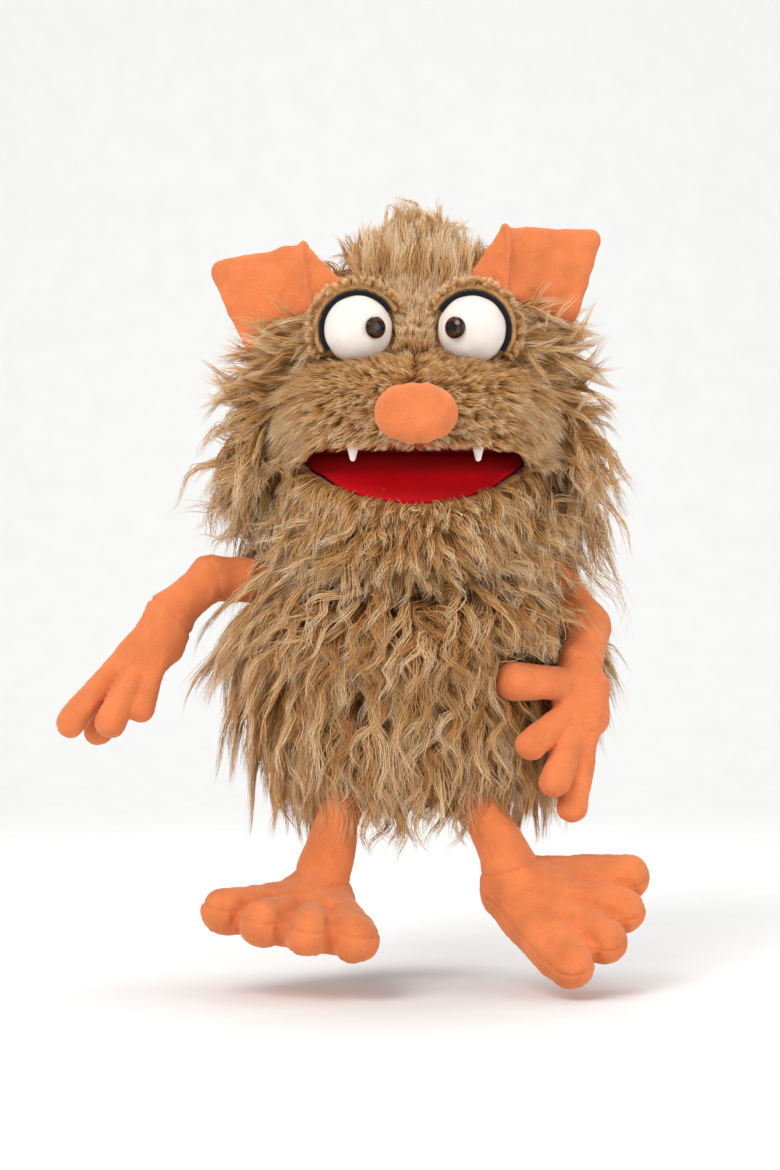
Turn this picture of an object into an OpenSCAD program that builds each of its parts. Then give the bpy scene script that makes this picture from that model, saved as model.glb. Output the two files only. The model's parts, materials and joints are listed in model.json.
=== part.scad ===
// Moving mouth puppet: a fur hand puppet with a sprung mouth, ears, arms and legs.
// +Z is up, the puppet faces -Y, and the origin is the centre of the hand hole's lower rim.

/* [Body] */
// Radius of the hand hole in the hem
hand_hole_r = 46; // [42:0.5:48]
// Height of the hem band
hem_h = 14; // [10:1:18]
// Half width of the body at its widest
body_half_w = 72; // [66:1:74]
// Half depth of the body at its widest
body_half_d = 58; // [52:1:60]
// Height of the body's neck opening
neck_z = 104; // [100:1:105]
// Thickness of the backed fur cloth
fur_t = 3; // [2:0.25:3.5]

/* [Head] */
// Half width of the head at the cheeks
head_half_w = 83; // [80:1:86]
// Height of the top of the head
head_top_z = 286; // [280:1:290]
// Height of the middle of the eyes
eye_z = 239; // [237:0.5:241]
// Sideways place of each eye
eye_x = 29.6; // [28:0.2:31]
// Radius of each eye
eye_r = 17; // [16:0.25:17.5]
// Radius of each pupil
pupil_r = 5.7; // [5:0.1:6]
// Half width of the nose
nose_half_w = 21; // [18:0.5:23]

/* [Mouth] */
// Distance of the mouth fold behind the origin, negative is forward
fold_y = -10; // [-12:0.5:-8]
// Height of the mouth fold
fold_z = 177; // [175:0.5:178]
// How far the mouth stands open at rest, in degrees
mouth_open = 19; // [17:0.5:20]
// Reach of the upper mouth from the fold
upper_reach = 80; // [76:1:82]
// Reach of the lower jaw from the fold
jaw_reach = 70; // [66:1:71]
// Length of each fang
fang_len = 8; // [6:0.5:8.5]

/* [Limbs] */
// Radius of an arm
arm_r = 11.5; // [10:0.25:12]
// Radius of a finger
finger_r = 7.6; // [6.5:0.1:8]
// Radius of a leg
leg_r = 14; // [12:0.25:14.5]
// Radius of a toe
toe_r = 11.5; // [10:0.25:12]
// Thickness of the velour
velour_t = 1.6; // [1.2:0.1:2]
// Thickness of each ear panel
ear_t = 3.2; // [2.5:0.1:3.6]

/* [Hidden] */

fur_colour = "#b08a55";
pale_fur = "#d9c09a";
velour = "#f07c3c";
felt_red = "#c8102e";
cotton = "#8b6b45";
wadding = "#f4f1e8";

gap = 0.4;
lining_t = 1.2;
board_t = 2;
felt_t = 1.5;
eye_depth = 15;
eye_sphere_r = (eye_r * eye_r + eye_depth * eye_depth) / (2 * eye_depth);
eye_back_y = -53.6;
eye_centre_y = eye_back_y - eye_depth + eye_sphere_r;
pupil_turn = 31;
body_mid_r = hand_hole_r + 6;

// Joint centres, left is the -X side
shoulder_l = [-76, -2, 108];
elbow_l = [-108, -10, 110.5];
wrist_l = [-130, -19, 91];
shoulder_r = [76, -4, 106];
elbow_r = [92, -20, 84];
wrist_r = [86, -40, 63];
hip_l = [-39.5, -46.5, -14];
ankle_l = [-49, -44, -48];
hip_r = [38, -47, -14];
ankle_r = [50, -54, -42];
ear_root_l = [-34, -40, 260];
ear_root_r = [27, -39, 265];

// ---- Shared helpers ----

function mix(a, b, t) = a + (b - a) * t;
function smooth(t) = let (u = min(1, max(0, t))) u * u * (3 - 2 * u);
function unit(v) = v / norm(v);

// One horizontal ring, with a front half and a back half of different depth
function ring(rx, front, back, z, cy = 0, n = 32) = [
    for (i = [0 : n - 1])
        let (a = 360 * i / n, d = sin(a) < 0 ? front : back)
        [rx * cos(a), cy + d * sin(a), z]
];

// Side faces between rows of n points, and from the last row to the first if wrapped
function skin(rows, n, wrapped = false) = [
    for (j = [0 : wrapped ? rows - 1 : rows - 2])
        for (i = [0 : n - 1])
            let (k = (i + 1) % n, m = (j + 1) % rows)
            each [[j * n + i, m * n + i, m * n + k], [j * n + i, m * n + k, j * n + k]]
];

// Closed solid through a stack of rings, with both ends fanned to their middles
module loft(rings) {
    n = len(rings[0]);
    rows = len(rings);
    first = rings[0];
    last = rings[rows - 1];
    low = [for (c = [0 : 2]) [for (p = first) p[c]] * [for (p = first) 1] / n];
    high = [for (c = [0 : 2]) [for (p = last) p[c]] * [for (p = last) 1] / n];
    caps = [
        for (i = [0 : n - 1])
            let (k = (i + 1) % n, top = (rows - 1) * n)
            each [[rows * n, i, k], [rows * n + 1, top + k, top + i]]
    ];
    polyhedron(
        points = [each [for (r = rings) each r], low, high],
        faces = concat(skin(rows, n), caps),
        convexity = 6
    );
}

// Tube wall: rings up the outside, then down the inside, joined at both rims
module wall(outer, inner) {
    rings = concat(outer, [for (j = [len(inner) - 1 : -1 : 0]) inner[j]]);
    polyhedron(
        points = [for (r = rings) each r],
        faces = skin(len(rings), len(rings[0]), true),
        convexity = 8
    );
}

// Cup: inner rings from the closed end to the rim, then outer rings back
module cup(inner, outer) {
    loft(concat([for (j = [len(inner) - 1 : -1 : 0]) inner[j]], outer));
}

// Curved panel between an outer and an inner grid of the same size
module panel(outer, inner) {
    rows = len(outer);
    n = len(outer[0]);
    m = 2 * n;
    rings = [
        for (j = [0 : rows - 1])
            concat(outer[j], [for (i = [n - 1 : -1 : 0]) inner[j][i]])
    ];
    ends = [
        for (i = [0 : n - 2])
            let (a = i, b = i + 1, c = m - 2 - i, d = m - 1 - i, t = (rows - 1) * m)
            each [
                [a, b, c], [a, c, d],
                [t + c, t + b, t + a], [t + d, t + c, t + a]
            ]
    ];
    polyhedron(
        points = [for (r = rings) each r],
        faces = concat(skin(rows, m), ends),
        convexity = 8
    );
}

// Rings of radius r(i) about a path, square to it, with the Y axis as the frame's guide
function tube_rings(path, radii, flat = 1, n = 16) = [
    for (j = [0 : len(path) - 1])
        let (
            d = unit(path[min(j + 1, len(path) - 1)] - path[max(j - 1, 0)]),
            u = unit(cross([0, 1, 0], d)),
            v = cross(d, u)
        )
        [
            for (i = [0 : n - 1])
                let (a = 360 * i / n)
                path[j] + radii[j] * (cos(a) * u + flat * sin(a) * v)
        ]
];

// Closed ellipsoid made of rings
module blob(size, n = 24, rows = 10) {
    loft([
        for (j = [1 : rows - 1])
            let (e = -90 + 180 * j / rows)
            ring(size[0] * cos(e), size[1] * cos(e), size[1] * cos(e), size[2] * sin(e), 0, n)
    ]);
}

// Straight finger with round ends
module digit(from, to, r) {
    d = unit(to - from);
    start = [for (e = [-70, -42, -14]) [from + d * r * sin(e), r * cos(e)]];
    end = [for (e = [14, 42, 70]) [to + d * r * sin(e), r * cos(e)]];
    steps = concat(start, end);
    loft(tube_rings([for (s = steps) s[0]], [for (s = steps) s[1]], 1, 14));
}

// ---- Body ----

// Half width and half depth of the body at each height
body_levels = [2, 5, 12, 26, 45, 65, 80, 92, neck_z - 4, neck_z];
function body_w(z) = lookup(z, [
    [2, body_mid_r + 2.5], [5, 61], [12, 67], [26, 71], [45, body_half_w],
    [65, body_half_w], [80, 70], [92, 64], [100, 54], [104, 44]
]);
function body_d(z) = lookup(z, [
    [2, body_mid_r + 2.5], [5, 56], [12, 57], [26, body_half_d], [45, body_half_d],
    [65, 56], [80, 52], [92, 47], [100, 43], [104, 41]
]);
function body_rings(inset) = [
    for (z = body_levels)
        ring(body_w(z) - inset, body_d(z) - inset, body_d(z) - inset, z)
];

// Long pile sleeve
module body_fur() {
    color(fur_colour) wall(body_rings(0), body_rings(fur_t));
}

// Cotton sleeve inside the fur
module body_lining() {
    inset = fur_t + gap;
    color(cotton)
        translate([0, 0, 13.4])
            wall(
                [for (r = lining_rings(inset)) r],
                [for (r = lining_rings(inset + lining_t)) r]
            );
}
function lining_rings(inset) = [
    for (z = [16, 26, 45, 65, 80, 92, 99])
        ring(body_w(z) - inset, body_d(z) - inset, body_d(z) - inset, z - 13.4)
];

// Rolled hem round the hand hole
module hem_band() {
    color(cotton)
        rotate_extrude($fn = 72)
            translate([hand_hole_r, 0])
                union() {
                    square([4, hem_h]);
                    translate([4, 5]) circle(2, $fn = 24);
                    translate([4, hem_h - 3]) circle(2, $fn = 24);
                }
}

// Cotton tube that joins the body to the head
module neck_gusset() {
    color(cotton)
        difference() {
            translate([0, 0, 98])
                rotate_extrude($fn = 64)
                    polygon([[33, 0], [34.6, 0], [35, 14], [38.6, 26], [37, 26], [33.4, 14]]);
            // The front is cut low, so that the jaw can drop past it
            translate([-60, 0, 0])
                rotate([90, 0, 90])
                    linear_extrude(120)
                        polygon([[-60, 102], [-10, 102], [12, 130], [-60, 130]]);
        }
}

// ---- Head ----

function head_w(z) = lookup(z, [
    [130, 64], [150, 77], [180, head_half_w], [205, 80], [225, 74], [239, 70], [250, 62],
    [265, 48], [277, 30], [head_top_z - 1, 9]
]);
function head_front(z) = lookup(z, [
    [130, 50], [150, 54], [180, 56], [205, 57], [225, 55], [239, 51], [250, 42],
    [265, 31], [277, 20], [head_top_z - 1, 7]
]);
function head_back(z) = lookup(z, [
    [130, 64], [150, 73], [180, 79], [205, 79], [225, 72], [239, 66], [250, 57],
    [265, 44], [277, 28], [head_top_z - 1, 9]
]);

// Lower edge of the head cover: low at the back, above the jaw at the sides and above
// the muzzle in front
function head_rim(a, back, side, front) =
    let (s = -sin(a))
    mix(mix(back, side, smooth((s + 0.12) / 0.24)), front, smooth((s - 0.42) / 0.14));
function head_ring(t, inset, back, side, front, top, n = 48) = [
    for (i = [0 : n - 1])
        let (
            a = 360 * i / n,
            z = mix(head_rim(a, back, side, front), top, t),
            d = sin(a) < 0 ? head_front(z) : head_back(z)
        )
        [(head_w(z) - inset) * cos(a), (d - inset) * sin(a), z - inset * smooth(t)]
];
head_steps = [0, 0.13, 0.27, 0.42, 0.56, 0.7, 0.82, 0.92, 1];
function head_rings(inset, back, side, front, top) = [
    for (t = head_steps) head_ring(t, inset, back, side, front, top)
];

// Long pile cover over the head
module head_fur() {
    top = head_top_z - 1;
    color(fur_colour)
        cup(head_rings(fur_t, 132, 184, 225, top), head_rings(0, 132, 184, 225, top));
}

// Foam skull that keeps the head round
module head_foam() {
    inset = fur_t + 2.9;
    top = head_top_z - 4.4;
    color(wadding)
        cup(
            head_rings(inset + 6, 140, 192, 229, top),
            head_rings(inset, 140, 192, 229, top)
        );
}

// Upswept tuft sewn on the crown
module crown_tuft() {
    levels = [0, 0.3, 0.6, 0.85, 1];
    function tuft_ring(t, r) = ring(
        r * cos(80 * t), 0.8 * r * cos(80 * t), r * cos(80 * t),
        head_top_z + 0.6 + 14 * t, 0, 24
    );
    color(pale_fur) loft([for (t = levels) tuft_ring(t, 19)]);
}

// Short pile muzzle, open behind for the fingers
muzzle_half_w = 66;
muzzle_y = -22;
function muzzle_grid(inset) = [
    for (z = [fold_z + 1, 184, 195, 206, 214, 219, 222.4])
        let (
            w = lookup(z, [[178, 64], [184, 66], [195, 66], [206, 64], [214, 59], [222.4, 45]]),
            f = lookup(z, [[178, 72], [184, 74], [195, 75], [206, 70], [214, 58], [222.4, 33]])
        )
        [
            for (i = [0 : 20])
                let (a = -86 + 172 * i / 20)
                [(w - inset) * sin(a), muzzle_y - (f - inset) * cos(a), z]
        ]
];
module muzzle_fur() {
    color(pale_fur) panel(muzzle_grid(0), muzzle_grid(3.5));
}

// Wadding that rounds the top of the muzzle
module muzzle_wadding() {
    color(wadding) translate([0, -55, 210.5]) blob([37, 9, 3.4], 24, 8);
}

// Stuffed nose
nose_centre = [0, -109.5, 192.8];
module nose_shape(inset) {
    translate(nose_centre) blob([nose_half_w - inset, 11.5 - inset, 16 - inset]);
}
module nose_cover() {
    color(velour)
        difference() {
            nose_shape(0);
            nose_shape(velour_t);
        }
}
module nose_wadding() {
    color(wadding) nose_shape(velour_t + gap);
}

// ---- Eyes ----

// Places children at the middle of an eye's sphere, with +Z looking forward
module eye_frame(side) {
    translate([side * eye_x, eye_centre_y, eye_z]) rotate([90, 0, 0]) children();
}

// Turns children towards the pupil, which looks inward
module pupil_frame(side) {
    eye_frame(side) rotate([0, -side * pupil_turn, 0]) children();
}

// White felt dome, hollow, with a hole for the pupil's shank
module eye(side) {
    color("white")
        difference() {
            eye_frame(side) sphere(eye_sphere_r, $fn = 64);
            eye_frame(side) sphere(eye_sphere_r - 2, $fn = 64);
            pupil_frame(side) cylinder(eye_sphere_r + 2, r = 2, $fn = 24);
            translate([side * eye_x - 25, eye_back_y, eye_z - 25]) cube([50, 50, 50]);
        }
}

// Black cord over the upper and outer rim of an eye
module eye_piping(side) {
    start = side < 0 ? 30 : -36;
    color("#141414")
        translate([side * eye_x, eye_back_y - 2.2, eye_z])
            rotate([90, 0, 0])
                rotate([0, 0, start])
                    rotate_extrude(angle = 186, $fn = 72)
                        translate([eye_r + 1.9, 0]) circle(1.4, $fn = 20);
}

// Short pile band outside the piping
module eyelid(side) {
    start = side < 0 ? 26 : -32;
    color(fur_colour)
        translate([side * eye_x, eye_back_y - 1.4, eye_z])
            rotate([90, 0, 0])
                rotate([0, 0, start])
                    rotate_extrude(angle = 186, $fn = 72)
                        translate([eye_r + 5.9, 0]) circle(2.2, $fn = 20);
}

// Plastic safety pupil: domed button, shank and its rim
module pupil(side) {
    color("#2a1408")
        pupil_frame(side)
            rotate_extrude($fn = 48)
                polygon([
                    [0, 6], [1.8, 6], [1.8, eye_sphere_r + 0.15],
                    [pupil_r, eye_sphere_r + 0.15], [pupil_r, eye_sphere_r + 1],
                    for (a = [12 : 13 : 77])
                        [pupil_r * cos(a), eye_sphere_r + 1 + 2.6 * sin(a)],
                    [0, eye_sphere_r + 3.6]
                ]);
}

// Lock washer pressed on the shank behind the felt
module pupil_washer(side) {
    color("#e8e8e8")
        pupil_frame(side)
            translate([0, 0, eye_sphere_r - 5])
                difference() {
                    cylinder(1.2, r = 5, $fn = 40);
                    translate([0, 0, -1]) cylinder(4, r = 1.9, $fn = 24);
                }
}

// ---- Mouth ----

// Half oval, wide at the fold and reaching forward
module mouth_outline(half_w, reach, back) {
    polygon([
        for (i = [0 : 28])
            let (a = 180 + 180 * i / 28)
            [half_w * cos(a), min(-back, reach * sin(a))]
    ]);
}
module upper_plate(half_w, reach, low, thick) {
    translate([0, fold_y, fold_z + low])
        linear_extrude(thick) mouth_outline(half_w, reach, 4.5);
}
module jaw_frame() {
    translate([0, fold_y, fold_z]) rotate([mouth_open, 0, 0]) children();
}

module mouth_lining_upper() {
    color(felt_red) upper_plate(59, upper_reach - 0.5, 1.2, felt_t);
}
module mouth_board_upper() {
    color("#6b4a2b") upper_plate(57, upper_reach - 2, 1.2 + felt_t + 0.2, board_t);
}
module mouth_lining_lower() {
    color(felt_red)
        jaw_frame()
            translate([0, 0, -0.3 - felt_t])
                linear_extrude(felt_t) mouth_outline(59, jaw_reach - 4, 4.5);
}
module mouth_board_lower() {
    color("#6b4a2b")
        jaw_frame()
            translate([0, 0, -0.5 - felt_t - board_t])
                linear_extrude(board_t) mouth_outline(57, jaw_reach - 5, 5);
}

// Felt strip folded behind the two mouth linings
module mouth_fold() {
    color(felt_red)
        translate([-52, fold_y, fold_z])
            rotate([0, 90, 0])
                difference() {
                    cylinder(104, r = 3.4, $fn = 32);
                    translate([0, 0, -1]) cylinder(106, r = 2.2, $fn = 32);
                    translate([-5, -10, -1]) cube([10, 9, 106]);
                }
}

// Half tube of cloth over a mouth board
function arch(half_w, rise, n = 20) = [
    for (i = [0 : n]) let (a = 180 * i / n) [half_w * cos(a), rise * pow(sin(a), 0.6)]
];
module pocket(half_w, rise, reach) {
    rotate([90, 0, 0])
        linear_extrude(reach)
            difference() {
                polygon(arch(half_w, rise));
                translate([0, -0.01]) polygon(arch(half_w - lining_t, rise - lining_t));
            }
}
module finger_pocket() {
    color(cotton)
        translate([0, fold_y - 7, fold_z + 1.2 + felt_t + board_t + gap])
            pocket(36, 22, 50);
}
module thumb_pocket() {
    color(cotton)
        jaw_frame()
            translate([0, -14, -0.5 - felt_t - board_t - gap])
                mirror([0, 0, 1]) pocket(17, 17, 38);
}

// Small stuffed fang at the upper lip
module fang(side) {
    color("white")
        translate([side * 32, -79, fold_z + 0.7 - fang_len])
            rotate_extrude($fn = 32)
                polygon([
                    [0, 0], [1.3, 0.3], [2.3, 1.4], [2.8, 3.2],
                    [2.9, fang_len - 0.6], [2.4, fang_len], [0, fang_len]
                ]);
}

// ---- Jaw ----

// Wall of the jaw: rows turn about the fold from the chin's rear edge to the lip
function jaw_grid(inset, from, to, spread = 80, rows = 7, n = 20) = [
    for (j = [0 : rows])
        let (
            tilt = mix(from, to, j / rows),
            reach = lookup(tilt, [
                [0, jaw_reach], [5, jaw_reach + 2], [25, jaw_reach + 8],
                [40, jaw_reach + 2], [50, jaw_reach - 8], [60, jaw_reach - 18]
            ]) - inset
        )
        [
            for (i = [0 : n])
                let (a = -spread + 2 * spread * i / n, r = reach * cos(a))
                [(66 - inset) * sin(a), -r * cos(tilt), -r * sin(tilt)]
        ]
];
module jaw_fur() {
    color(fur_colour) jaw_frame() panel(jaw_grid(0, 54, 0), jaw_grid(fur_t, 54, 0));
}
module jaw_padding() {
    color(wadding)
        jaw_frame()
            panel(jaw_grid(fur_t + 1.3, 50, 11, 56), jaw_grid(fur_t + 7, 50, 11, 56));
}

// ---- Ears ----

// Ear in its own frame: root at the origin, sewn edge along +X, standing up +Z
ear_yaw = 22;
module ear_frame(side) {
    root = side < 0 ? ear_root_l : ear_root_r;
    lean = side < 0 ? 28 : 19;
    translate(root)
        mirror([side < 0 ? 1 : 0, 0, 0])
            rotate([0, 0, ear_yaw])
                rotate([0, lean, 0])
                    children();
}
module ear_outline(inset) {
    round_r = 4 - inset / 2;
    hull() {
        for (p = [[7, 5], [61, 5], [56, 52], [9, 30]])
            translate(p) circle(round_r, $fn = 20);
        translate([30, 43]) circle(round_r, $fn = 20);
    }
}
module ear_front(side) {
    color(velour)
        ear_frame(side)
            rotate([90, 0, 0]) translate([0, 0, 0.15]) linear_extrude(ear_t) ear_outline(0);
}
module ear_back(side) {
    color(velour)
        ear_frame(side)
            rotate([90, 0, 0])
                translate([0, 0, -0.15 - ear_t])
                    linear_extrude(ear_t)
                        ear_outline(0.4);
}

// ---- Arms ----

// Limb segment: a domed end on its own joint, then a tube that stops short of the next
function limb_path(from, to, short) =
    let (d = unit(to - from), l = norm(to - from))
    [for (t = [0, 0.35, 0.7, 1]) from + d * (l - short) * t];
function dome_rings(from, to, r, n = 16) = [
    for (e = [72, 50, 25])
        let (d = unit(to - from))
        tube_rings([from - d * r * sin(e), from - d * (r * sin(e) - 1)],
                   [r * cos(e), r * cos(e)], 1, n)[0]
];
module limb_cover(from, to, r0, r1, short) {
    path = limb_path(from, to, short);
    radii = [for (t = [0, 0.35, 0.7, 1]) mix(r0, r1, t)];
    outer = concat(dome_rings(from, to, r0), tube_rings(path, radii));
    inner = concat(
        dome_rings(from, to, r0 - velour_t),
        tube_rings(path, [for (r = radii) r - velour_t])
    );
    color(velour) loft(concat(outer, [for (j = [len(inner) - 1 : -1 : 0]) inner[j]]));
}
module limb_wadding(from, to, r0, r1, short) {
    path = limb_path(from, to, short + 5.5);
    inset = velour_t + gap;
    color(wadding)
        loft(concat(
            dome_rings(from, to, r0 - inset),
            tube_rings(path, [for (t = [0, 0.35, 0.7, 1]) mix(r0, r1, t) - inset - 0.8 * t])
        ));
}

// Palm as a flat oval loft from the wrist to the knuckles
palm_steps = [
    [-0.62, 0.55, 0.6], [-0.4, 0.8, 0.8], [0, 0.95, 0.95], [0.5, 1.2, 0.95],
    [0.85, 1.3, 0.85], [1, 1.28, 0.75], [1.12, 1.1, 0.5]
];
module palm(wrist, knuckles, across, inset, open = 0) {
    d = unit(knuckles - wrist);
    l = norm(knuckles - wrist);
    u = unit(cross(cross(d, across), d));
    v = cross(d, u);
    loft([
        for (s = palm_steps)
            let (
                half_w = s[1] * arm_r - inset,
                half_t = s[2] * arm_r - inset,
                shift = s[0] < 0 ? s[0] * (arm_r + open) + inset * (open > 0 ? 0 : 1)
                    : s[0] * (l - inset)
            )
            [
                for (i = [0 : 19])
                    let (a = 360 * i / 20)
                    wrist + shift * d + half_w * cos(a) * u + half_t * sin(a) * v
            ]
    ]);
}
module hand(wrist, knuckles, across, digits) {
    color(velour)
        difference() {
            union() {
                palm(wrist, knuckles, across, 0);
                for (f = digits) digit(f[0], f[1], f[2]);
            }
            palm(wrist, knuckles, across, 3.4, 5);
        }
}

knuckles_l = [-150, -26, 60];
across_l = [0.86, 0.1, -0.5];
digits_l = [
    [[-160, -26, 62], [-180, -33, 34], finger_r],
    [[-154, -22, 58], [-167, -16, 28.5], finger_r],
    [[-150, -30, 54], [-159, -38, 32], finger_r + 0.2],
    [[-142, -27, 54], [-146.5, -30, 41], finger_r]
];
knuckles_r = [84, -52, 34];
across_r = [0.95, -0.25, 0.2];
digits_r = [
    [[74, -52, 55], [51, -60, 55.5], finger_r + 1.6],
    [[76, -56, 38], [62, -66, 23], finger_r],
    [[82, -55, 30], [73, -68, 4.5], finger_r],
    [[90, -52, 26], [83, -58, -8.5], finger_r]
];

// ---- Legs ----

// Foot in its own frame: ankle at the origin, toes towards -Y, sole down
foot_l_tilt = [10, 8, 0];
foot_r_tilt = [40, 0, 0];
foot_l_turn = -14;
foot_r_turn = 62;
module foot_frame(side) {
    translate(side < 0 ? ankle_l : ankle_r)
        rotate(side < 0 ? foot_l_tilt : foot_r_tilt)
            rotate([0, 0, side < 0 ? foot_l_turn : foot_r_turn])
                children();
}
toe_places = [[-35, -51], [-12, -59], [12, -58], [35, -50]];
module foot_outline(inset) {
    hull() {
        translate([0, 3]) circle(15 - inset, $fn = 24);
        for (p = toe_places) translate(p) circle(9 - inset, $fn = 24);
    }
}
function foot_ring(z, grow, n = 28) = [
    for (i = [0 : n - 1])
        let (
            a = 360 * i / n,
            y = -26 + (34 + grow) * sin(a),
            spread = mix(16, 40, smooth((8 - y) / 62))
        )
        [(spread + grow) * cos(a), y, z]
];
module foot_form(inset, low = -19.6) {
    loft([
        foot_ring(low, -1 - inset),
        foot_ring(-13, 1 - inset),
        foot_ring(-7.5, -4 - inset),
        foot_ring(-3.5 - inset, -13 - inset)
    ]);
}
module foot_upper(side) {
    color(velour)
        foot_frame(side)
            difference() {
                union() {
                    foot_form(0);
                    blob([leg_r - 1, leg_r - 1, leg_r - 1], 20, 10);
                    for (p = toe_places)
                        digit([p[0] * 0.8, p[1] + 16, -12], [p[0], p[1], -11.5], toe_r - 0.3);
                }
                translate([-60, -90, -40]) cube([120, 120, 40 - 19.6]);
                foot_form(3.5, -21);
            }
}
module foot_wadding(side) {
    color(wadding) foot_frame(side) foot_form(4, -19.4);
}
module foot_sole(side) {
    color(velour)
        foot_frame(side) translate([0, 0, -22.6]) linear_extrude(2.8) foot_outline(0);
}

// ---- Assembly ----

body_fur();
body_lining();
hem_band();
neck_gusset();
head_fur();
head_foam();
crown_tuft();
muzzle_fur();
muzzle_wadding();
nose_cover();
nose_wadding();
eye(-1);  // eye_left
eye(1);  // eye_right
eye_piping(-1);  // eye_piping_left
eye_piping(1);  // eye_piping_right
eyelid(-1);  // eyelid_left
eyelid(1);  // eyelid_right
pupil(-1);  // pupil_left
pupil(1);  // pupil_right
pupil_washer(-1);  // pupil_washer_left
pupil_washer(1);  // pupil_washer_right
mouth_lining_upper();
mouth_board_upper();
mouth_fold();
finger_pocket();
fang(-1);  // fang_left
fang(1);  // fang_right
jaw_fur();
jaw_padding();
mouth_lining_lower();
mouth_board_lower();
thumb_pocket();
ear_front(-1);  // ear_front_left
ear_back(-1);  // ear_back_left
ear_front(1);  // ear_front_right
ear_back(1);  // ear_back_right
limb_cover(shoulder_l, elbow_l, arm_r - 1, arm_r, 7);  // upper_arm_left
limb_wadding(shoulder_l, elbow_l, arm_r - 1, arm_r, 7);  // upper_arm_wadding_left
limb_cover(elbow_l, wrist_l, arm_r - 2, arm_r, 7);  // forearm_left
limb_wadding(elbow_l, wrist_l, arm_r - 2, arm_r, 7);  // forearm_wadding_left
hand(wrist_l, knuckles_l, across_l, digits_l);  // hand_left
color(wadding) palm(wrist_l, knuckles_l, across_l, 4);  // hand_wadding_left
limb_cover(shoulder_r, elbow_r, arm_r - 1, arm_r, 7);  // upper_arm_right
limb_wadding(shoulder_r, elbow_r, arm_r - 1, arm_r, 7);  // upper_arm_wadding_right
limb_cover(elbow_r, wrist_r, arm_r - 2, arm_r, 7);  // forearm_right
limb_wadding(elbow_r, wrist_r, arm_r - 2, arm_r, 7);  // forearm_wadding_right
hand(wrist_r, knuckles_r, across_r, digits_r);  // hand_right
color(wadding) palm(wrist_r, knuckles_r, across_r, 4);  // hand_wadding_right
limb_cover(hip_l, ankle_l, leg_r - 2, leg_r, 9);  // leg_left
limb_wadding(hip_l, ankle_l, leg_r - 2, leg_r, 9);  // leg_wadding_left
foot_upper(-1);  // foot_upper_left
foot_wadding(-1);  // foot_wadding_left
foot_sole(-1);  // foot_sole_left
limb_cover(hip_r, ankle_r, leg_r - 2, leg_r, 9);  // leg_right
limb_wadding(hip_r, ankle_r, leg_r - 2, leg_r, 9);  // leg_wadding_right
foot_upper(1);  // foot_upper_right
foot_wadding(1);  // foot_wadding_right
foot_sole(1);  // foot_sole_right
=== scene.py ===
"""Looks of the moving mouth puppet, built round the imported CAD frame. All lengths are metres."""
import json
import math

import bmesh
import bpy
import numpy as np
import openvdb as vdb
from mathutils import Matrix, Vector
from mathutils.bvhtree import BVHTree


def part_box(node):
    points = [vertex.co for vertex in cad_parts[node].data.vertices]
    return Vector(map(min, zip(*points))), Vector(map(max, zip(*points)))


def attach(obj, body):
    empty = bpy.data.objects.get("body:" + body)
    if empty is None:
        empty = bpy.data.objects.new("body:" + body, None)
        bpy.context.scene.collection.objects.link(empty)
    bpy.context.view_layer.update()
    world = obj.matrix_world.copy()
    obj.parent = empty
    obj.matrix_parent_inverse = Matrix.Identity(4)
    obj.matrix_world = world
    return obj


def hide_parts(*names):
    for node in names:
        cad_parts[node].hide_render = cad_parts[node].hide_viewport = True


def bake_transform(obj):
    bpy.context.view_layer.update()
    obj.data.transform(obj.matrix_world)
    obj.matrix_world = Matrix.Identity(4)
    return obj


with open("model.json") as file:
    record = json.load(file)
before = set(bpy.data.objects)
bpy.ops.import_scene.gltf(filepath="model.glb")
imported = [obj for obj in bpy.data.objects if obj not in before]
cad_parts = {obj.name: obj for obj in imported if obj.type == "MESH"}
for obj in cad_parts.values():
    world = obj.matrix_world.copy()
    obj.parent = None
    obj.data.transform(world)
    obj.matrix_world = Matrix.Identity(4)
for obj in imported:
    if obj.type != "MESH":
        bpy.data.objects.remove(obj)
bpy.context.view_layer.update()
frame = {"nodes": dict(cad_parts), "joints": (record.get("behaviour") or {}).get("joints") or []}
nodes = frame["nodes"]
pivots = {j["name"]: np.array(j["pos_m"]) for j in frame["joints"]}
MM = 0.001
SIDES = {"left": -1, "right": 1}
UP = np.array([0.0, 0.0, 1.0])


# ---- Materials ----


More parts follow.
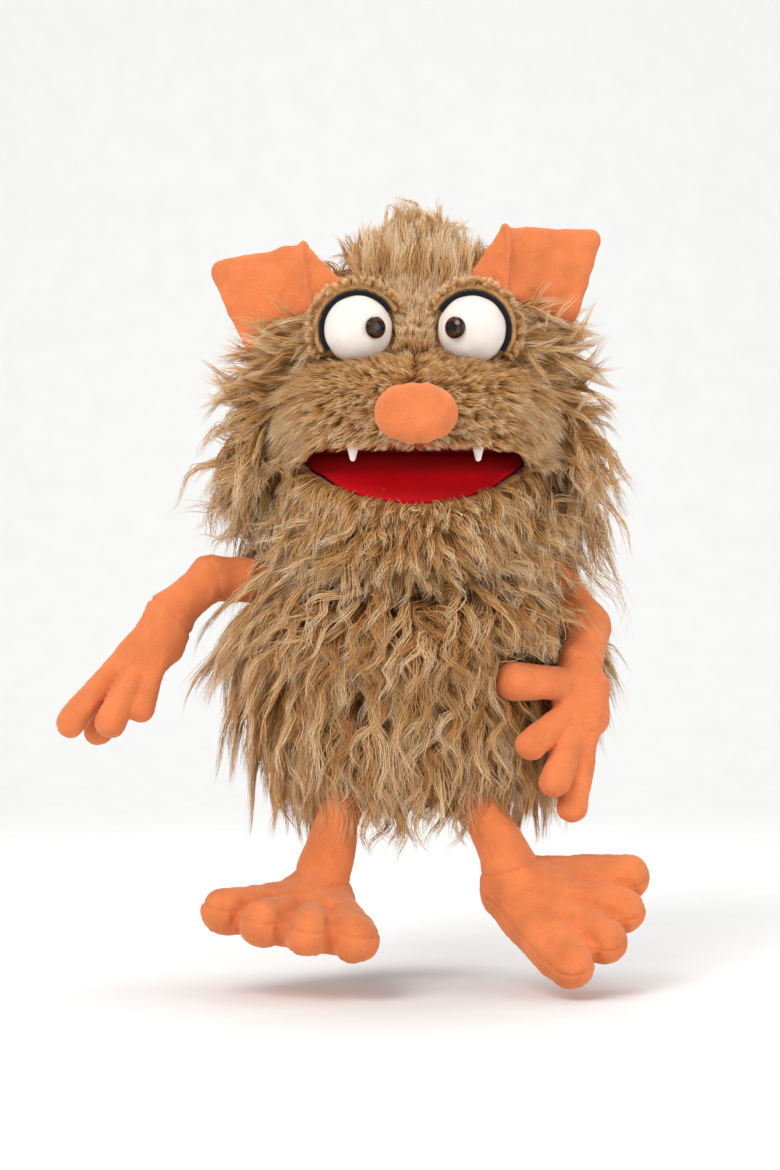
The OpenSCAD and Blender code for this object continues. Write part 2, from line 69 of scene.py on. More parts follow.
class Shade:
    """A Principled material with short calls for the nodes that the puppet's cloths use."""

    def __init__(self, name, roughness=0.85, **constants):
        self.material = bpy.data.materials.new(name)
        self.material.use_nodes = True
        self.tree = self.material.node_tree
        self.bsdf = self.tree.nodes["Principled BSDF"]
        self.bsdf.inputs["Roughness"].default_value = roughness
        for key, value in constants.items():
            self.bsdf.inputs[key.replace("_", " ")].default_value = value

    def node(self, kind, **settings):
        made = self.tree.nodes.new(kind)
        for key, value in settings.items():
            setattr(made, key, value)
        return made

    def link(self, source, target):
        self.tree.links.new(source, target)

    def place(self):
        return self.node("ShaderNodeTexCoord").outputs["Object"]

    def noise(self, size_mm, detail=3.0, rough=0.55, stretch=(1, 1, 1)):
        """Noise with features of about size_mm, from 0 to 1."""
        grow = self.node("ShaderNodeMapping")
        grow.inputs["Scale"].default_value = [s / (size_mm * MM) for s in stretch]
        made = self.node("ShaderNodeTexNoise")
        made.inputs["Scale"].default_value = 1.0
        made.inputs["Detail"].default_value = detail
        made.inputs["Roughness"].default_value = rough
        self.link(self.place(), grow.inputs["Vector"])
        self.link(grow.outputs["Vector"], made.inputs["Vector"])
        return made.outputs["Fac"]

    def ramp(self, source, stops):
        """Colours or grey levels along a value: stops are (position, colour or level)."""
        made = self.node("ShaderNodeValToRGB")
        elements = made.color_ramp.elements
        while len(elements) < len(stops):
            elements.new(0.5)
        for element, (position, colour) in zip(elements, stops):
            element.position = position
            if not isinstance(colour, tuple):
                colour = (colour,) * 3
            element.color = (*colour, 1)
        self.link(source, made.inputs["Fac"])
        return made.outputs["Color"]

    def mix(self, factor, a, b, blend="MIX"):
        """Mix of two colours. Each of factor, a and b is a socket or a value."""
        made = self.node("ShaderNodeMix", data_type="RGBA", blend_type=blend)
        for index, value in ((0, factor), (6, a), (7, b)):
            if hasattr(value, "is_output"):
                self.link(value, made.inputs[index])
            elif index:
                made.inputs[index].default_value = (*value, 1)
            else:
                made.inputs[index].default_value = value
        return made.outputs[2]

    def maths(self, operation, a, b=0.0):
        made = self.node("ShaderNodeMath", operation=operation)
        for index, value in enumerate((a, b)):
            if hasattr(value, "is_output"):
                self.link(value, made.inputs[index])
            else:
                made.inputs[index].default_value = value
        return made.outputs[0]

    def colour(self, source):
        self.link(source, self.bsdf.inputs["Base Color"])

    def rough(self, source):
        self.link(source, self.bsdf.inputs["Roughness"])

    def bump(self, source, height_mm, strength=0.5):
        made = self.node("ShaderNodeBump")
        made.inputs["Strength"].default_value = strength
        made.inputs["Distance"].default_value = height_mm * MM
        self.link(source, made.inputs["Height"])
        if self.bsdf.inputs["Normal"].is_linked:
            before = self.bsdf.inputs["Normal"].links[0].from_socket
            self.link(before, made.inputs["Normal"])
        self.link(made.outputs["Normal"], self.bsdf.inputs["Normal"])


def tint(colour, by):
    return tuple(min(1.0, c * by) for c in colour)


def velour(name, base):
    """Brushed velour: painted sheen in soft lighter and darker patches where the nap lies another way, and a
    fine pile.
    """
    s = Shade(name, 0.92, Sheen_Weight=0.35, Sheen_Roughness=0.45, Specular_IOR_Level=0.15)
    s.bsdf.inputs["Sheen Tint"].default_value = (1.0, 0.72, 0.5, 1)
    # painted sheen: the base colour is made lighter and darker in soft patches, as light catches nap lying
    # different ways
    painted_sheen_patches = s.ramp(s.noise(16, 4), [(0.3, tint(base, 0.86)), (0.7, tint(base, 1.1))])
    pile = s.ramp(s.noise(0.7, 3), [(0.3, 0.78), (0.7, 1.0)])
    s.colour(s.mix(0.8, painted_sheen_patches, pile, "MULTIPLY"))
    s.rough(s.ramp(s.noise(6), [(0.3, 0.84), (0.7, 0.98)]))
    s.bump(s.noise(0.55, 2), 0.35, 0.55)
    s.bump(s.noise(3.0, 3), 0.5, 0.3)
    return s.material


def felt(name, base, dark=0.8, fibre=0.5, sheen=0.25):
    """Pressed felt: short fibres lying every way, and a little pilling."""
    s = Shade(name, 0.95, Sheen_Weight=sheen, Sheen_Roughness=0.5, Specular_IOR_Level=0.1)
    fibres = s.ramp(s.noise(fibre, 5, 0.7), [(0.25, tint(base, dark)), (0.7, base)])
    clouds = s.ramp(s.noise(9, 3), [(0.3, 0.9), (0.7, 1.0)])
    s.colour(s.mix(1.0, fibres, clouds, "MULTIPLY"))
    s.rough(s.ramp(s.noise(2.0), [(0.3, 0.88), (0.7, 1.0)]))
    s.bump(s.noise(fibre, 5, 0.7), 0.3, 0.5)
    return s.material


def woven(name, base, pitch_mm=0.6):
    """Plain woven cotton: crossed threads."""
    s = Shade(name, 0.9, Sheen_Weight=0.1, Specular_IOR_Level=0.2)
    waves = []
    for direction in ("X", "Y", "Z"):
        wave = s.node("ShaderNodeTexWave", bands_direction=direction)
        wave.inputs["Scale"].default_value = 0.31 / (pitch_mm * MM)
        wave.inputs["Distortion"].default_value = 0.4
        s.link(s.place(), wave.inputs["Vector"])
        waves.append(wave.outputs["Fac"])
    weave = s.maths("MULTIPLY", s.maths("ADD", waves[0], waves[1]), waves[2])
    threads = s.ramp(weave, [(0.1, tint(base, 0.7)), (1.0, tint(base, 1.1))])
    s.colour(s.mix(0.5, threads, s.ramp(s.noise(12), [(0.3, 0.8), (0.7, 1.0)]), "MULTIPLY"))
    s.rough(s.ramp(s.noise(5), [(0.3, 0.82), (0.7, 0.96)]))
    s.bump(weave, 0.15, 0.5)
    return s.material


def moulded(name, base, roughness, coat=0.0):
    """Moulded plastic with faint flow marks."""
    s = Shade(name, roughness, Coat_Weight=coat, Coat_Roughness=0.03)
    s.colour(s.ramp(s.noise(4), [(0.3, tint(base, 0.85)), (0.7, tint(base, 1.1))]))
    s.rough(s.ramp(s.noise(1.5), [(0.3, roughness * 0.8), (0.7, roughness * 1.2 + 0.01)]))
    return s.material


def pile(name, dark, root, middle, tip, pale):
    """Fur strands: the bake map's U is how pale a strand is and V runs from root to tip."""
    s = Shade(name, 0.7, Sheen_Weight=0.12, Sheen_Roughness=0.4, Specular_IOR_Level=0.22)
    parts = s.node("ShaderNodeSeparateXYZ")
    uv = s.node("ShaderNodeUVMap", uv_map="OFBake")
    s.link(uv.outputs["UV"], parts.inputs[0])
    tone, along = parts.outputs["X"], parts.outputs["Y"]
    common = s.ramp(along, [(0.0, dark), (0.25, root), (0.6, middle), (1.0, tip)])
    light = s.ramp(along, [(0.0, root), (0.3, middle), (0.62, tip), (1.0, pale)])
    deep = s.ramp(along, [(0.0, dark), (0.45, root), (1.0, middle)])
    lighter = s.ramp(tone, [(0.5, 0.0), (0.85, 1.0)])
    deeper = s.ramp(tone, [(0.12, 1.0), (0.45, 0.0)])
    s.colour(s.mix(deeper, s.mix(lighter, common, light), deep))
    s.rough(s.ramp(along, [(0.0, 0.85), (1.0, 0.55)]))
    return s.material


HANGING = (1.6, 1.6, 0.5)  # noise drawn out downward, as hairs hang


def nap(name, base, streak_mm=1.2):
    """Short brushed pile on a woven back, streaked the way the hairs lie."""
    s = Shade(name, 0.95, Sheen_Weight=0.2, Sheen_Roughness=0.5, Specular_IOR_Level=0.12)
    streaks = s.noise(streak_mm, 5, 0.7, HANGING)
    hairs = s.ramp(streaks, [(0.25, tint(base, 0.6)), (0.7, tint(base, 1.15))])
    clouds = s.ramp(s.noise(14, 3), [(0.3, 0.85), (0.7, 1.0)])
    s.colour(s.mix(1.0, hairs, clouds, "MULTIPLY"))
    s.rough(s.ramp(s.noise(3), [(0.3, 0.88), (0.7, 1.0)]))
    s.bump(s.noise(streak_mm * 0.5, 5, 0.7, HANGING), 0.6, 0.6)
    return s.material


# ---- Mesh making ----


def new_mesh(name, points, quads=(), triangles=(), smooth=True, uv=None):
    """A mesh object from arrays of points, four-sided faces and three-sided faces."""
    quads = np.asarray(quads, np.int32).reshape(-1, 4)
    triangles = np.asarray(triangles, np.int32).reshape(-1, 3)
    corners = np.concatenate([quads.ravel(), triangles.ravel()])
    sizes = np.concatenate([np.full(len(quads), 4), np.full(len(triangles), 3)])
    mesh = bpy.data.meshes.new(name)
    mesh.vertices.add(len(points))
    mesh.vertices.foreach_set("co", np.asarray(points, np.float32).ravel())
    mesh.loops.add(len(corners))
    mesh.loops.foreach_set("vertex_index", corners.astype(np.int32))
    mesh.polygons.add(len(sizes))
    starts = np.concatenate([[0], np.cumsum(sizes)[:-1]])
    mesh.polygons.foreach_set("loop_start", starts.astype(np.int32))
    mesh.update(calc_edges=True)
    mesh.polygons.foreach_set("use_smooth", np.full(len(sizes), smooth))
    if uv is not None:
        layer = mesh.uv_layers.new(name="OFBake")
        layer.data.foreach_set("uv", np.asarray(uv, np.float32)[corners].ravel())
    piece = bpy.data.objects.new(name, mesh)
    bpy.context.scene.collection.objects.link(piece)
    return piece


def points_of(piece):
    co = np.empty(len(piece.data.vertices) * 3, np.float32)
    piece.data.vertices.foreach_get("co", co)
    return co.reshape(-1, 3).astype(float)


def set_points(piece, points):
    piece.data.vertices.foreach_set("co", np.asarray(points, np.float32).ravel())
    piece.data.update()


def normals_of(piece):
    normals = np.empty(len(piece.data.vertices) * 3, np.float32)
    piece.data.vertex_normals.foreach_get("vector", normals)
    return normals.reshape(-1, 3).astype(float)


def apply_modifiers(piece):
    graph = bpy.context.evaluated_depsgraph_get()
    mesh = bpy.data.meshes.new_from_object(piece.evaluated_get(graph), depsgraph=graph)
    old = piece.data
    piece.modifiers.clear()
    piece.data = mesh
    bpy.data.meshes.remove(old)
    mesh.polygons.foreach_set("use_smooth", np.full(len(mesh.polygons), True))


def subdivide(piece, levels=1):
    piece.modifiers.new("smooth", "SUBSURF").levels = levels
    piece.modifiers["smooth"].render_levels = levels
    apply_modifiers(piece)


def finish_piece(piece, body, material, *replaced):
    piece.data.materials.clear()
    piece.data.materials.append(material)
    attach(piece, body)
    if replaced:
        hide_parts(*replaced)
    return piece


def unit(v):
    v = np.asarray(v, float)
    return v / np.maximum(np.linalg.norm(v, axis=-1, keepdims=True), 1e-12)


def smooth_step(t):
    t = np.clip(t, 0, 1)
    return t * t * (3 - 2 * t)


# ---- Solid shapes from distance fields ----


def polygon_distance(points, corners):
    """Signed distance in a plane to a convex polygon whose corners run anticlockwise."""
    nearest = np.full(points.shape[:-1], 1e9)
    side = np.full(points.shape[:-1], -1e9)
    corners = np.asarray(corners, float)
    for a, b in zip(corners, np.roll(corners, -1, 0)):
        edge = b - a
        off = points - a
        t = np.clip(off @ edge / (edge @ edge), 0, 1)
        nearest = np.minimum(nearest, np.linalg.norm(off - t[..., None] * edge, axis=-1))
        side = np.maximum(side, off @ unit(np.array([edge[1], -edge[0]])))
    return np.where(side < 0, -nearest, nearest)


class Field:
    """A box of space holding the distance to a growing soft shape."""

    def __init__(self, low, high, pitch):
        self.low = np.array(low, float)
        self.pitch = pitch
        counts = np.ceil((np.array(high) - self.low) / pitch).astype(int) + 1
        axes = [self.low[i] + np.arange(counts[i]) * pitch for i in range(3)]
        self.at = np.stack(np.meshgrid(*axes, indexing="ij"), -1)
        self.d = np.full(counts, 1.0)

    def join(self, d, soft):
        """Union with rounded inner corners of radius soft."""
        h = np.clip(0.5 + 0.5 * (self.d - d) / soft, 0, 1)
        self.d = self.d * (1 - h) + d * h - soft * h * (1 - h)

    def limb(self, a, b, ra, rb, soft, flat=None, by=1.0):
        """Round-ended bar from a to b. It is by times as thick along the direction flat."""
        a, b = np.asarray(a, float), np.asarray(b, float)
        p = self.at - a
        axis = b - a
        t = np.clip(p @ axis / (axis @ axis), 0, 1)
        away = p - t[..., None] * axis
        if flat is not None:
            flat = unit(flat)
            away = away + (away @ flat)[..., None] * flat * (1 / by - 1)
        self.join(np.linalg.norm(away, axis=-1) - (ra + (rb - ra) * t), soft)

    def mesh(self, name):
        grid = vdb.FloatGrid(1.0)
        grid.copyFromArray(self.d.astype(np.float32))
        points, quads = grid.convertToQuads()
        points = self.low + points * self.pitch
        return new_mesh(name, points, quads[:, ::-1])


def relax(piece, rounds, amount=0.5):
    """Evens out the steps that the distance grid leaves."""
    piece.modifiers.new("even", "SMOOTH").factor = amount
    piece.modifiers["even"].iterations = rounds
    apply_modifiers(piece)


def stuff(piece, cap_mm, pressure=4.0, frames=16, stiffness=12.0):
    """Cloth simulation with air pressure, so that the cover swells over its wadding."""
    before = points_of(piece)
    modifier = piece.modifiers.new("stuffing", "CLOTH")
    cloth = modifier.settings
    cloth.quality = 4
    cloth.mass = 0.3
    cloth.tension_stiffness = stiffness
    cloth.compression_stiffness = stiffness
    cloth.bending_stiffness = 0.4
    cloth.use_pressure = True
    cloth.uniform_pressure_force = pressure
    cloth.effector_weights.gravity = 0
    modifier.collision_settings.use_collision = False
    modifier.point_cache.frame_start = 1
    modifier.point_cache.frame_end = frames
    for step in range(1, frames + 1):
        bpy.context.scene.frame_set(step)
    apply_modifiers(piece)
    bpy.context.scene.frame_set(1)
    moved = points_of(piece) - before
    moved -= moved.mean(0)
    far = np.linalg.norm(moved, axis=1, keepdims=True)
    cap = cap_mm * MM
    set_points(piece, before + moved * np.minimum(1, cap / np.maximum(far, 1e-9)))


# ---- Fur ----

COLUMNS = 256
PIECE_TRIANGLES = 190000


def surface_of(node, centre, keep=None):
    """The outward triangles of a CAD shell, as corners and unit normals."""
    mesh = nodes[node].data
    mesh.calc_loop_triangles()
    co = points_of(nodes[node])
    tris = np.empty(len(mesh.loop_triangles) * 3, np.int32)
    mesh.loop_triangles.foreach_get("vertices", tris)
    corners = co[tris.reshape(-1, 3)]
    normals = unit(np.cross(corners[:, 1] - corners[:, 0], corners[:, 2] - corners[:, 0]))
    middle = corners.mean(1)
    outward = (normals * (middle - np.asarray(centre))).sum(1) > 0
    if keep is not None:
        outward &= keep(middle, normals)
    return corners[outward], normals[outward]


def scatter(corners, normals, count, rng):
    """Evenly spread random roots over triangles."""
    area = np.linalg.norm(
        np.cross(corners[:, 1] - corners[:, 0], corners[:, 2] - corners[:, 0]), axis=1
    )
    pick = rng.choice(len(area), count, p=area / area.sum())
    a, b = rng.random((2, count, 1))
    flip = a + b > 1
    a, b = np.where(flip, 1 - a, a), np.where(flip, 1 - b, b)
    c = corners[pick]
    return c[:, 0] + a * (c[:, 1] - c[:, 0]) + b * (c[:, 2] - c[:, 0]), normals[pick]


def drift(points, size, seed):
    """Smooth pseudo-random values from -1 to 1 over space, with features of a given size."""
    rng = np.random.default_rng(seed)
    total = np.zeros(len(points))
    for _ in range(5):
        direction = unit(rng.normal(size=3)) * rng.uniform(0.6, 1.5) / size
        total += np.sin(points @ direction * 2 * math.pi + rng.uniform(0, 2 * math.pi))
    return total / 2.6


def guides(roots, normals, flow, length, lift, height, droop, steps, tree, swing, fade, rng):
    """Lock centre lines: they leave the skin, swing from side to side and hang over it."""
    path = np.empty((len(roots), steps + 1, 3))
    path[:, 0] = roots
    side = unit(np.cross(normals, flow))
    amount, period = swing
    turns = 2 * math.pi * length / (period * MM) * rng.uniform(0.7, 1.4, len(roots))
    phase = rng.uniform(0, 2 * math.pi, len(roots))
    amount = amount * rng.uniform(0.3, 1.4, len(roots))
    heading = unit(normals * lift[:, None] + flow)
    stride = (length / steps)[:, None]
    for k in range(1, steps + 1):
        heading = unit(heading + flow * 0.12 - UP * droop[:, None] * k / steps)
        sway = side * (amount * np.sin(turns * k / steps + phase))[:, None]
        path[:, k] = path[:, k - 1] + unit(heading + sway) * stride
        wanted = height * smooth_step(k / (0.35 * steps))
        if fade is not None:
            wanted = wanted * fade(path[:, k])
        for i, point in enumerate(path[:, k]):
            near, normal, _, _ = tree.find_nearest(Vector(point))
            near, normal = np.array(near), np.array(normal)
            above = (point - near) @ normal
            if above < wanted[i]:
                path[i, k] += normal * (wanted[i] - above)
        step = path[:, k] - path[:, k - 1]
        heading = unit(heading + unit(step - sway * stride))
    return path


def locks(path, normals, count, spread, clump, wave, wavelength, rng, wild=0.05):
    """Strands round each guide, drawn together towards its tip, with shared waves."""
    n, steps, _ = path.shape
    t = np.linspace(0, 1, steps)
    length = np.linalg.norm(np.diff(path, axis=1), axis=2).sum(1)
    along = unit(np.gradient(path, axis=1))
    across = unit(np.cross(along, normals[:, None]))
    out = np.cross(across, along)
    angle = rng.uniform(0, 2 * math.pi, (n, count))
    radius = np.sqrt(rng.random((n, count))) * spread
    loose = rng.random((n, count)) < wild
    pull = np.where(loose, 0.1, clump * rng.uniform(0.7, 1.0, (n, count)))
    spread_out = 1 - pull[..., None] * t**0.8
    offset_a = (radius * np.cos(angle))[..., None] * spread_out
    offset_o = (0.6 * radius * np.sin(angle))[..., None] * spread_out
    phase = rng.uniform(0, 2 * math.pi, (n, 1, 1)) + rng.normal(0, 0.5, (n, count, 1))
    turns = 2 * math.pi * (length / wavelength)[:, None, None] * t * rng.uniform(0.85, 1.2, (n, count, 1))
    size = wave * rng.uniform(0.4, 1.3, (n, 1, 1)) * rng.uniform(0.5, 1.5, (n, count, 1))
    size = np.where(loose[..., None], size * 2.2, size) * t
    offset_a = offset_a + size * np.sin(turns + phase)
    offset_o = offset_o + 0.6 * size * np.cos(turns * 0.9 + phase * 1.3)
    fray = rng.normal(0, 0.06 - 0.045 * clump, (n, count, 2)) * length[:, None, None]
    offset_a = offset_a + fray[..., :1] * t**2
    offset_o = offset_o + np.abs(fray[..., 1:]) * t**2
    reach = rng.uniform(0.62, 1.0, (n, count, 1)) * t
    index = reach * (steps - 1)
    low = np.minimum(index.astype(int), steps - 2)
    part = (index - low)[..., None]

    def sample(values):
        rows = np.arange(n)[:, None, None]
        return values[rows, low] * (1 - part) + values[rows, low + 1] * part

    points = sample(path) + offset_a[..., None] * sample(across)
    points += offset_o[..., None] * sample(out)
    return points.reshape(n * count, steps, 3)


def weave_strands(name, body, strands, width, material, rng, shades):
    """Tapered three-sided strands, in pieces small enough to export whole."""
    count, steps, _ = strands.shape
    column = np.clip(shades * COLUMNS, 0, COLUMNS - 1).astype(int)
    made = []
    batch = PIECE_TRIANGLES // (6 * (steps - 2) + 4)
    for first in range(0, count, batch):
        some = strands[first : first + batch]
        n = len(some)
        t = np.linspace(0, 1, steps)[:-1]
        girth = width * 0.5 * (0.7 + 0.3 * np.minimum(1, t * 5)) * (1 - t**2.4 * 0.93)
        girth = girth[None] * rng.uniform(0.6, 1.25, (n, 1))
        along = unit(np.gradient(some, axis=1))[:, :-1]
        side = unit(np.cross(along, unit(rng.normal(size=(n, 1, 3)))))
        other = np.cross(along, side)
        angles = np.arange(3) * 2 * math.pi / 3
        ring = (
            some[:, :-1, None]
            + girth[..., None, None] * np.cos(angles)[:, None] * side[:, :, None]
            + girth[..., None, None] * np.sin(angles)[:, None] * other[:, :, None]
        )
        per = (steps - 1) * 3 + 1
        points = np.empty((n, per, 3))
        points[:, :-1] = ring.reshape(n, -1, 3)
        points[:, -1] = some[:, -1]
        u0 = (column[first : first + n] + 0.2) / COLUMNS
        uv = np.empty((n, per, 2))
        uv[:, :-1, 0] = (u0[:, None] + np.tile([0, 0.3, 0.6], steps - 1) / COLUMNS)
        uv[:, :-1, 1] = np.repeat(t * 0.98 + 0.01, 3)
        uv[:, -1] = np.stack([u0 + 0.3 / COLUMNS, np.full(n, 0.99)], 1)
        j, i = np.meshgrid(np.arange(steps - 2), np.arange(3), indexing="ij")
        a, b = (j * 3 + i).ravel(), (j * 3 + (i + 1) % 3).ravel()
        quads = np.stack([a, b, b + 3, a + 3], 1)
        last = (steps - 2) * 3
        ends = np.array(
            [[last, last + 1, per - 1], [last + 1, last + 2, per - 1],
             [last + 2, last, per - 1], [2, 1, 0]]
        )
        base = (np.arange(n) * per)[:, None, None]
        piece = new_mesh(
            f"{name}_{len(made) + 1}",
            points.reshape(-1, 3),
            (quads + base).reshape(-1, 4),
            (ends + base).reshape(-1, 3),
            uv=uv.reshape(-1, 2),
        )
        made.append(finish_piece(piece, body, material))
    return made


def tree_of(*names):
    """Nearest-point tree over the outer skins that fur must stay above."""
    points, faces = [], []
    for name in names:
        mesh = (nodes.get(name) or bpy.data.objects[name]).data
        mesh.calc_loop_triangles()
        base = len(points)
        points += [tuple(v.co) for v in mesh.vertices]
        faces += [tuple(base + i for i in t.vertices) for t in mesh.loop_triangles]
    return BVHTree.FromPolygons(points, faces)


# ---- Stage ----


def hue(code):
    """Scene-linear colour from a hex colour code."""
    values = (int(code[i : i + 2], 16) / 255 for i in (0, 2, 4))
    return tuple(v / 12.92 if v < 0.04045 else ((v + 0.055) / 1.055) ** 2.4 for v in values)


def soft_light(name, place, aim, size, power, colour=(1, 1, 1)):
    data = bpy.data.lights.new(name, "AREA")
    data.shape, data.size, data.energy, data.color = "DISK", size, power, colour
    light = bpy.data.objects.new(name, data)
    bpy.context.scene.collection.objects.link(light)
    light.location = place
    light.rotation_euler = (Vector(aim) - Vector(place)).to_track_quat("-Z", "Y").to_euler()


def set_stage():
    scene = bpy.context.scene
    scene.view_settings.view_transform = "Standard"
    scene.view_settings.look = "None"
    world = bpy.data.worlds.new("studio")
    world.use_nodes = True
    world.node_tree.nodes["Background"].inputs["Color"].default_value = (1, 1, 1, 1)
    world.node_tree.nodes["Background"].inputs["Strength"].default_value = 0.62
    scene.world = world

    across = np.linspace(-3.0, 3.0, 13)
    run = [(-3.0, 0.0), (0.0, 0.0), (1.2, 0.0)]
    run += [(1.2 + 0.8 * math.sin(a), 0.8 - 0.8 * math.cos(a)) for a in np.linspace(0.2, 1.57, 8)]
    run += [(2.0, 3.0)]
    points = [(x, y, FLOOR + z) for y, z in run for x in across]
    n = len(across)
    quads = [
        (j * n + i, j * n + i + 1, (j + 1) * n + i + 1, (j + 1) * n + i)
        for j in range(len(run) - 1)
        for i in range(n - 1)
    ]
    floor = new_mesh("floor", points, quads)
    paper = Shade("floor_paper", 0.9, Specular_IOR_Level=0.1)
    paper.colour(paper.ramp(paper.noise(30, 2), [(0.3, 0.86), (0.7, 0.88)]))
    floor.data.materials.append(paper.material)

    soft_light("key", (-0.9, -1.7, 1.5), (0, 0, 0.1), 1.3, 34, (1.0, 0.985, 0.96))
    soft_light("fill", (1.5, -1.3, 0.5), (0, 0, 0.1), 1.2, 10)
    soft_light("top", (0.1, 0.5, 1.7), (0, 0, 0.15), 1.0, 12)

    data = bpy.data.cameras.new("camera")
    data.sensor_width = 36
    data.clip_end = 50
    camera = bpy.data.objects.new("camera", data)
    scene.collection.objects.link(camera)
    distance = 1.6
    data.lens = 36 * distance / 0.608
    camera.location = (-0.013, -distance - 0.05, 0.1066)
    camera.rotation_euler = (math.radians(90), 0, 0)
    scene.camera = camera


# ---- Cloth pieces ----


def backing(name, node, body, material, wrinkle_mm=0.5, size_mm=6):
    """The woven back of a fur or lining, from the CAD shell, with its wrinkles."""
    piece = nodes[node].copy()
    piece.data = nodes[node].data.copy()
    for key in [k for k in piece.keys() if k.startswith("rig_")]:
        del piece[key]
    piece.name = name
    piece.parent = None
    bpy.context.scene.collection.objects.link(piece)
    weld = piece.modifiers.new("weld", "WELD")
    weld.merge_threshold = 1e-5
    apply_modifiers(piece)
    split_long_edges(piece, 5 * MM)
    points, normals = points_of(piece), normals_of(piece)
    wave = drift(points, size_mm * MM, len(node))
    set_points(piece, points + normals * (wave * wrinkle_mm * MM)[:, None])
    return finish_piece(piece, body, material, node)


def split_long_edges(piece, longest):
    bm = bmesh.new()
    bm.from_mesh(piece.data)
    for _ in range(5):
        edges = [e for e in bm.edges if e.calc_length() > longest]
        if not edges or len(bm.faces) > 60000:
            break
        bmesh.ops.subdivide_edges(bm, edges=edges, cuts=1)
        bmesh.ops.triangulate(bm, faces=bm.faces[:])
    bm.to_mesh(piece.data)
    bm.free()


def outward(piece):
    """Turns the faces outward if the whole surface came out inside out."""
    co = points_of(piece)
    piece.data.calc_loop_triangles()
    tris = np.empty(len(piece.data.loop_triangles) * 3, np.int32)
    piece.data.loop_triangles.foreach_get("vertices", tris)
    a, b, c = (co[tris.reshape(-1, 3)[:, i]] for i in range(3))
    if (a * np.cross(b, c)).sum() < 0:
        piece.data.flip_normals()


def halve(piece, name, point, direction):
    """Cuts a closed piece at a plane into two closed pieces. The first lies before the plane."""
    other = piece.copy()
    other.data = piece.data.copy()
    other.name = name
    bpy.context.scene.collection.objects.link(other)
    for target, sign in ((piece, 1), (other, -1)):
        bm = bmesh.new()
        bm.from_mesh(target.data)
        cut = bmesh.ops.bisect_plane(
            bm,
            geom=bm.verts[:] + bm.edges[:] + bm.faces[:],
            plane_co=Vector(point),
            plane_no=Vector(direction) * sign,
            clear_outer=True,
        )
        rim = [e for e in cut["geom_cut"] if isinstance(e, bmesh.types.BMEdge)]
        made = bmesh.ops.holes_fill(bm, edges=rim)
        for edge in rim:
            edge.smooth = False
        for face in made["faces"]:
            face.smooth = False
        bm.to_mesh(target.data)
        bm.free()
    return piece, other


def groove(piece, away, depth_mm, width_mm, stitch=None):
    """Presses a seam into a piece where away, a distance for each point, is small."""
    points, normals = points_of(piece), normals_of(piece)
    depth = depth_mm * MM * np.exp(-((away(points) / (width_mm * MM)) ** 2))
    if stitch is not None:
        depth = depth * (0.8 + 0.2 * np.sin(2 * math.pi * stitch(points) / (2.6 * MM)))
    set_points(piece, points - normals * depth[:, None])


def to_segment(points, a, b):
    axis = b - a
    t = np.clip((points - a) @ axis / (axis @ axis), 0, 1)
    return np.linalg.norm(points - a - t[:, None] * axis, axis=1)


def rumple(piece, amount_mm, size_mm, seed):
    """Small soft unevenness of a stuffed cloth."""
    points, normals = points_of(piece), normals_of(piece)
    wave = drift(points, size_mm * MM, seed)
    set_points(piece, points + normals * (wave * amount_mm * MM)[:, None])


def field_over(points, margin_mm, pitch_mm):
    points = np.asarray(points)
    margin = margin_mm * MM
    return Field(points.min(0) - margin, points.max(0) + margin, pitch_mm * MM)


# Each hand hangs from its wrist. Digits are (base, tip, radius), in millimetres from the wrist.
HANDS = {
    "left": {
        "across": (0.86, 0.1, -0.5),
        "knuckles": (-20, -7, -31),
        "digits": [
            ((-28, -6, -27), (-51, -14, -57), 8.0),
            ((-22, -1, -31), (-37.5, 4, -62), 7.8),
            ((-19, -11, -33), (-29.5, -19, -56.5), 8.5),
            ((-8, -7, -31), (-14.5, -11, -49), 8.1),
        ],
        "palm": [((0, 0, 0), 11.6), ((-24, -6, -25), 8.6), ((-17, -7, -30), 9.4), ((-8, -5, -28), 9.2)],
        "heel": ((3, 2, -9), (0, 2, -18), 8.0),
    },
    "right": {
        "across": (0.95, -0.25, 0.2),
        "knuckles": (-2, -12, -29),
        "digits": [
            ((-10, -11, -7.5), (-35, -20, -6), 10.2),
            ((-10, -14, -25), (-26.5, -26, -38.5), 8.4),
            ((-4, -13, -33), (-14.5, -28, -57.5), 8.4),
            ((3, -11, -37), (-5, -18, -71), 8.4),
        ],
        "palm": [((0, 0, 0), 12.4), ((-6, -9, -22), 10.6), ((1, -10, -30), 10.4), ((4, -9, -30), 9.6)],
        "heel": ((8, -4, -10), (7, -7, -26), 8.0),
    },
}


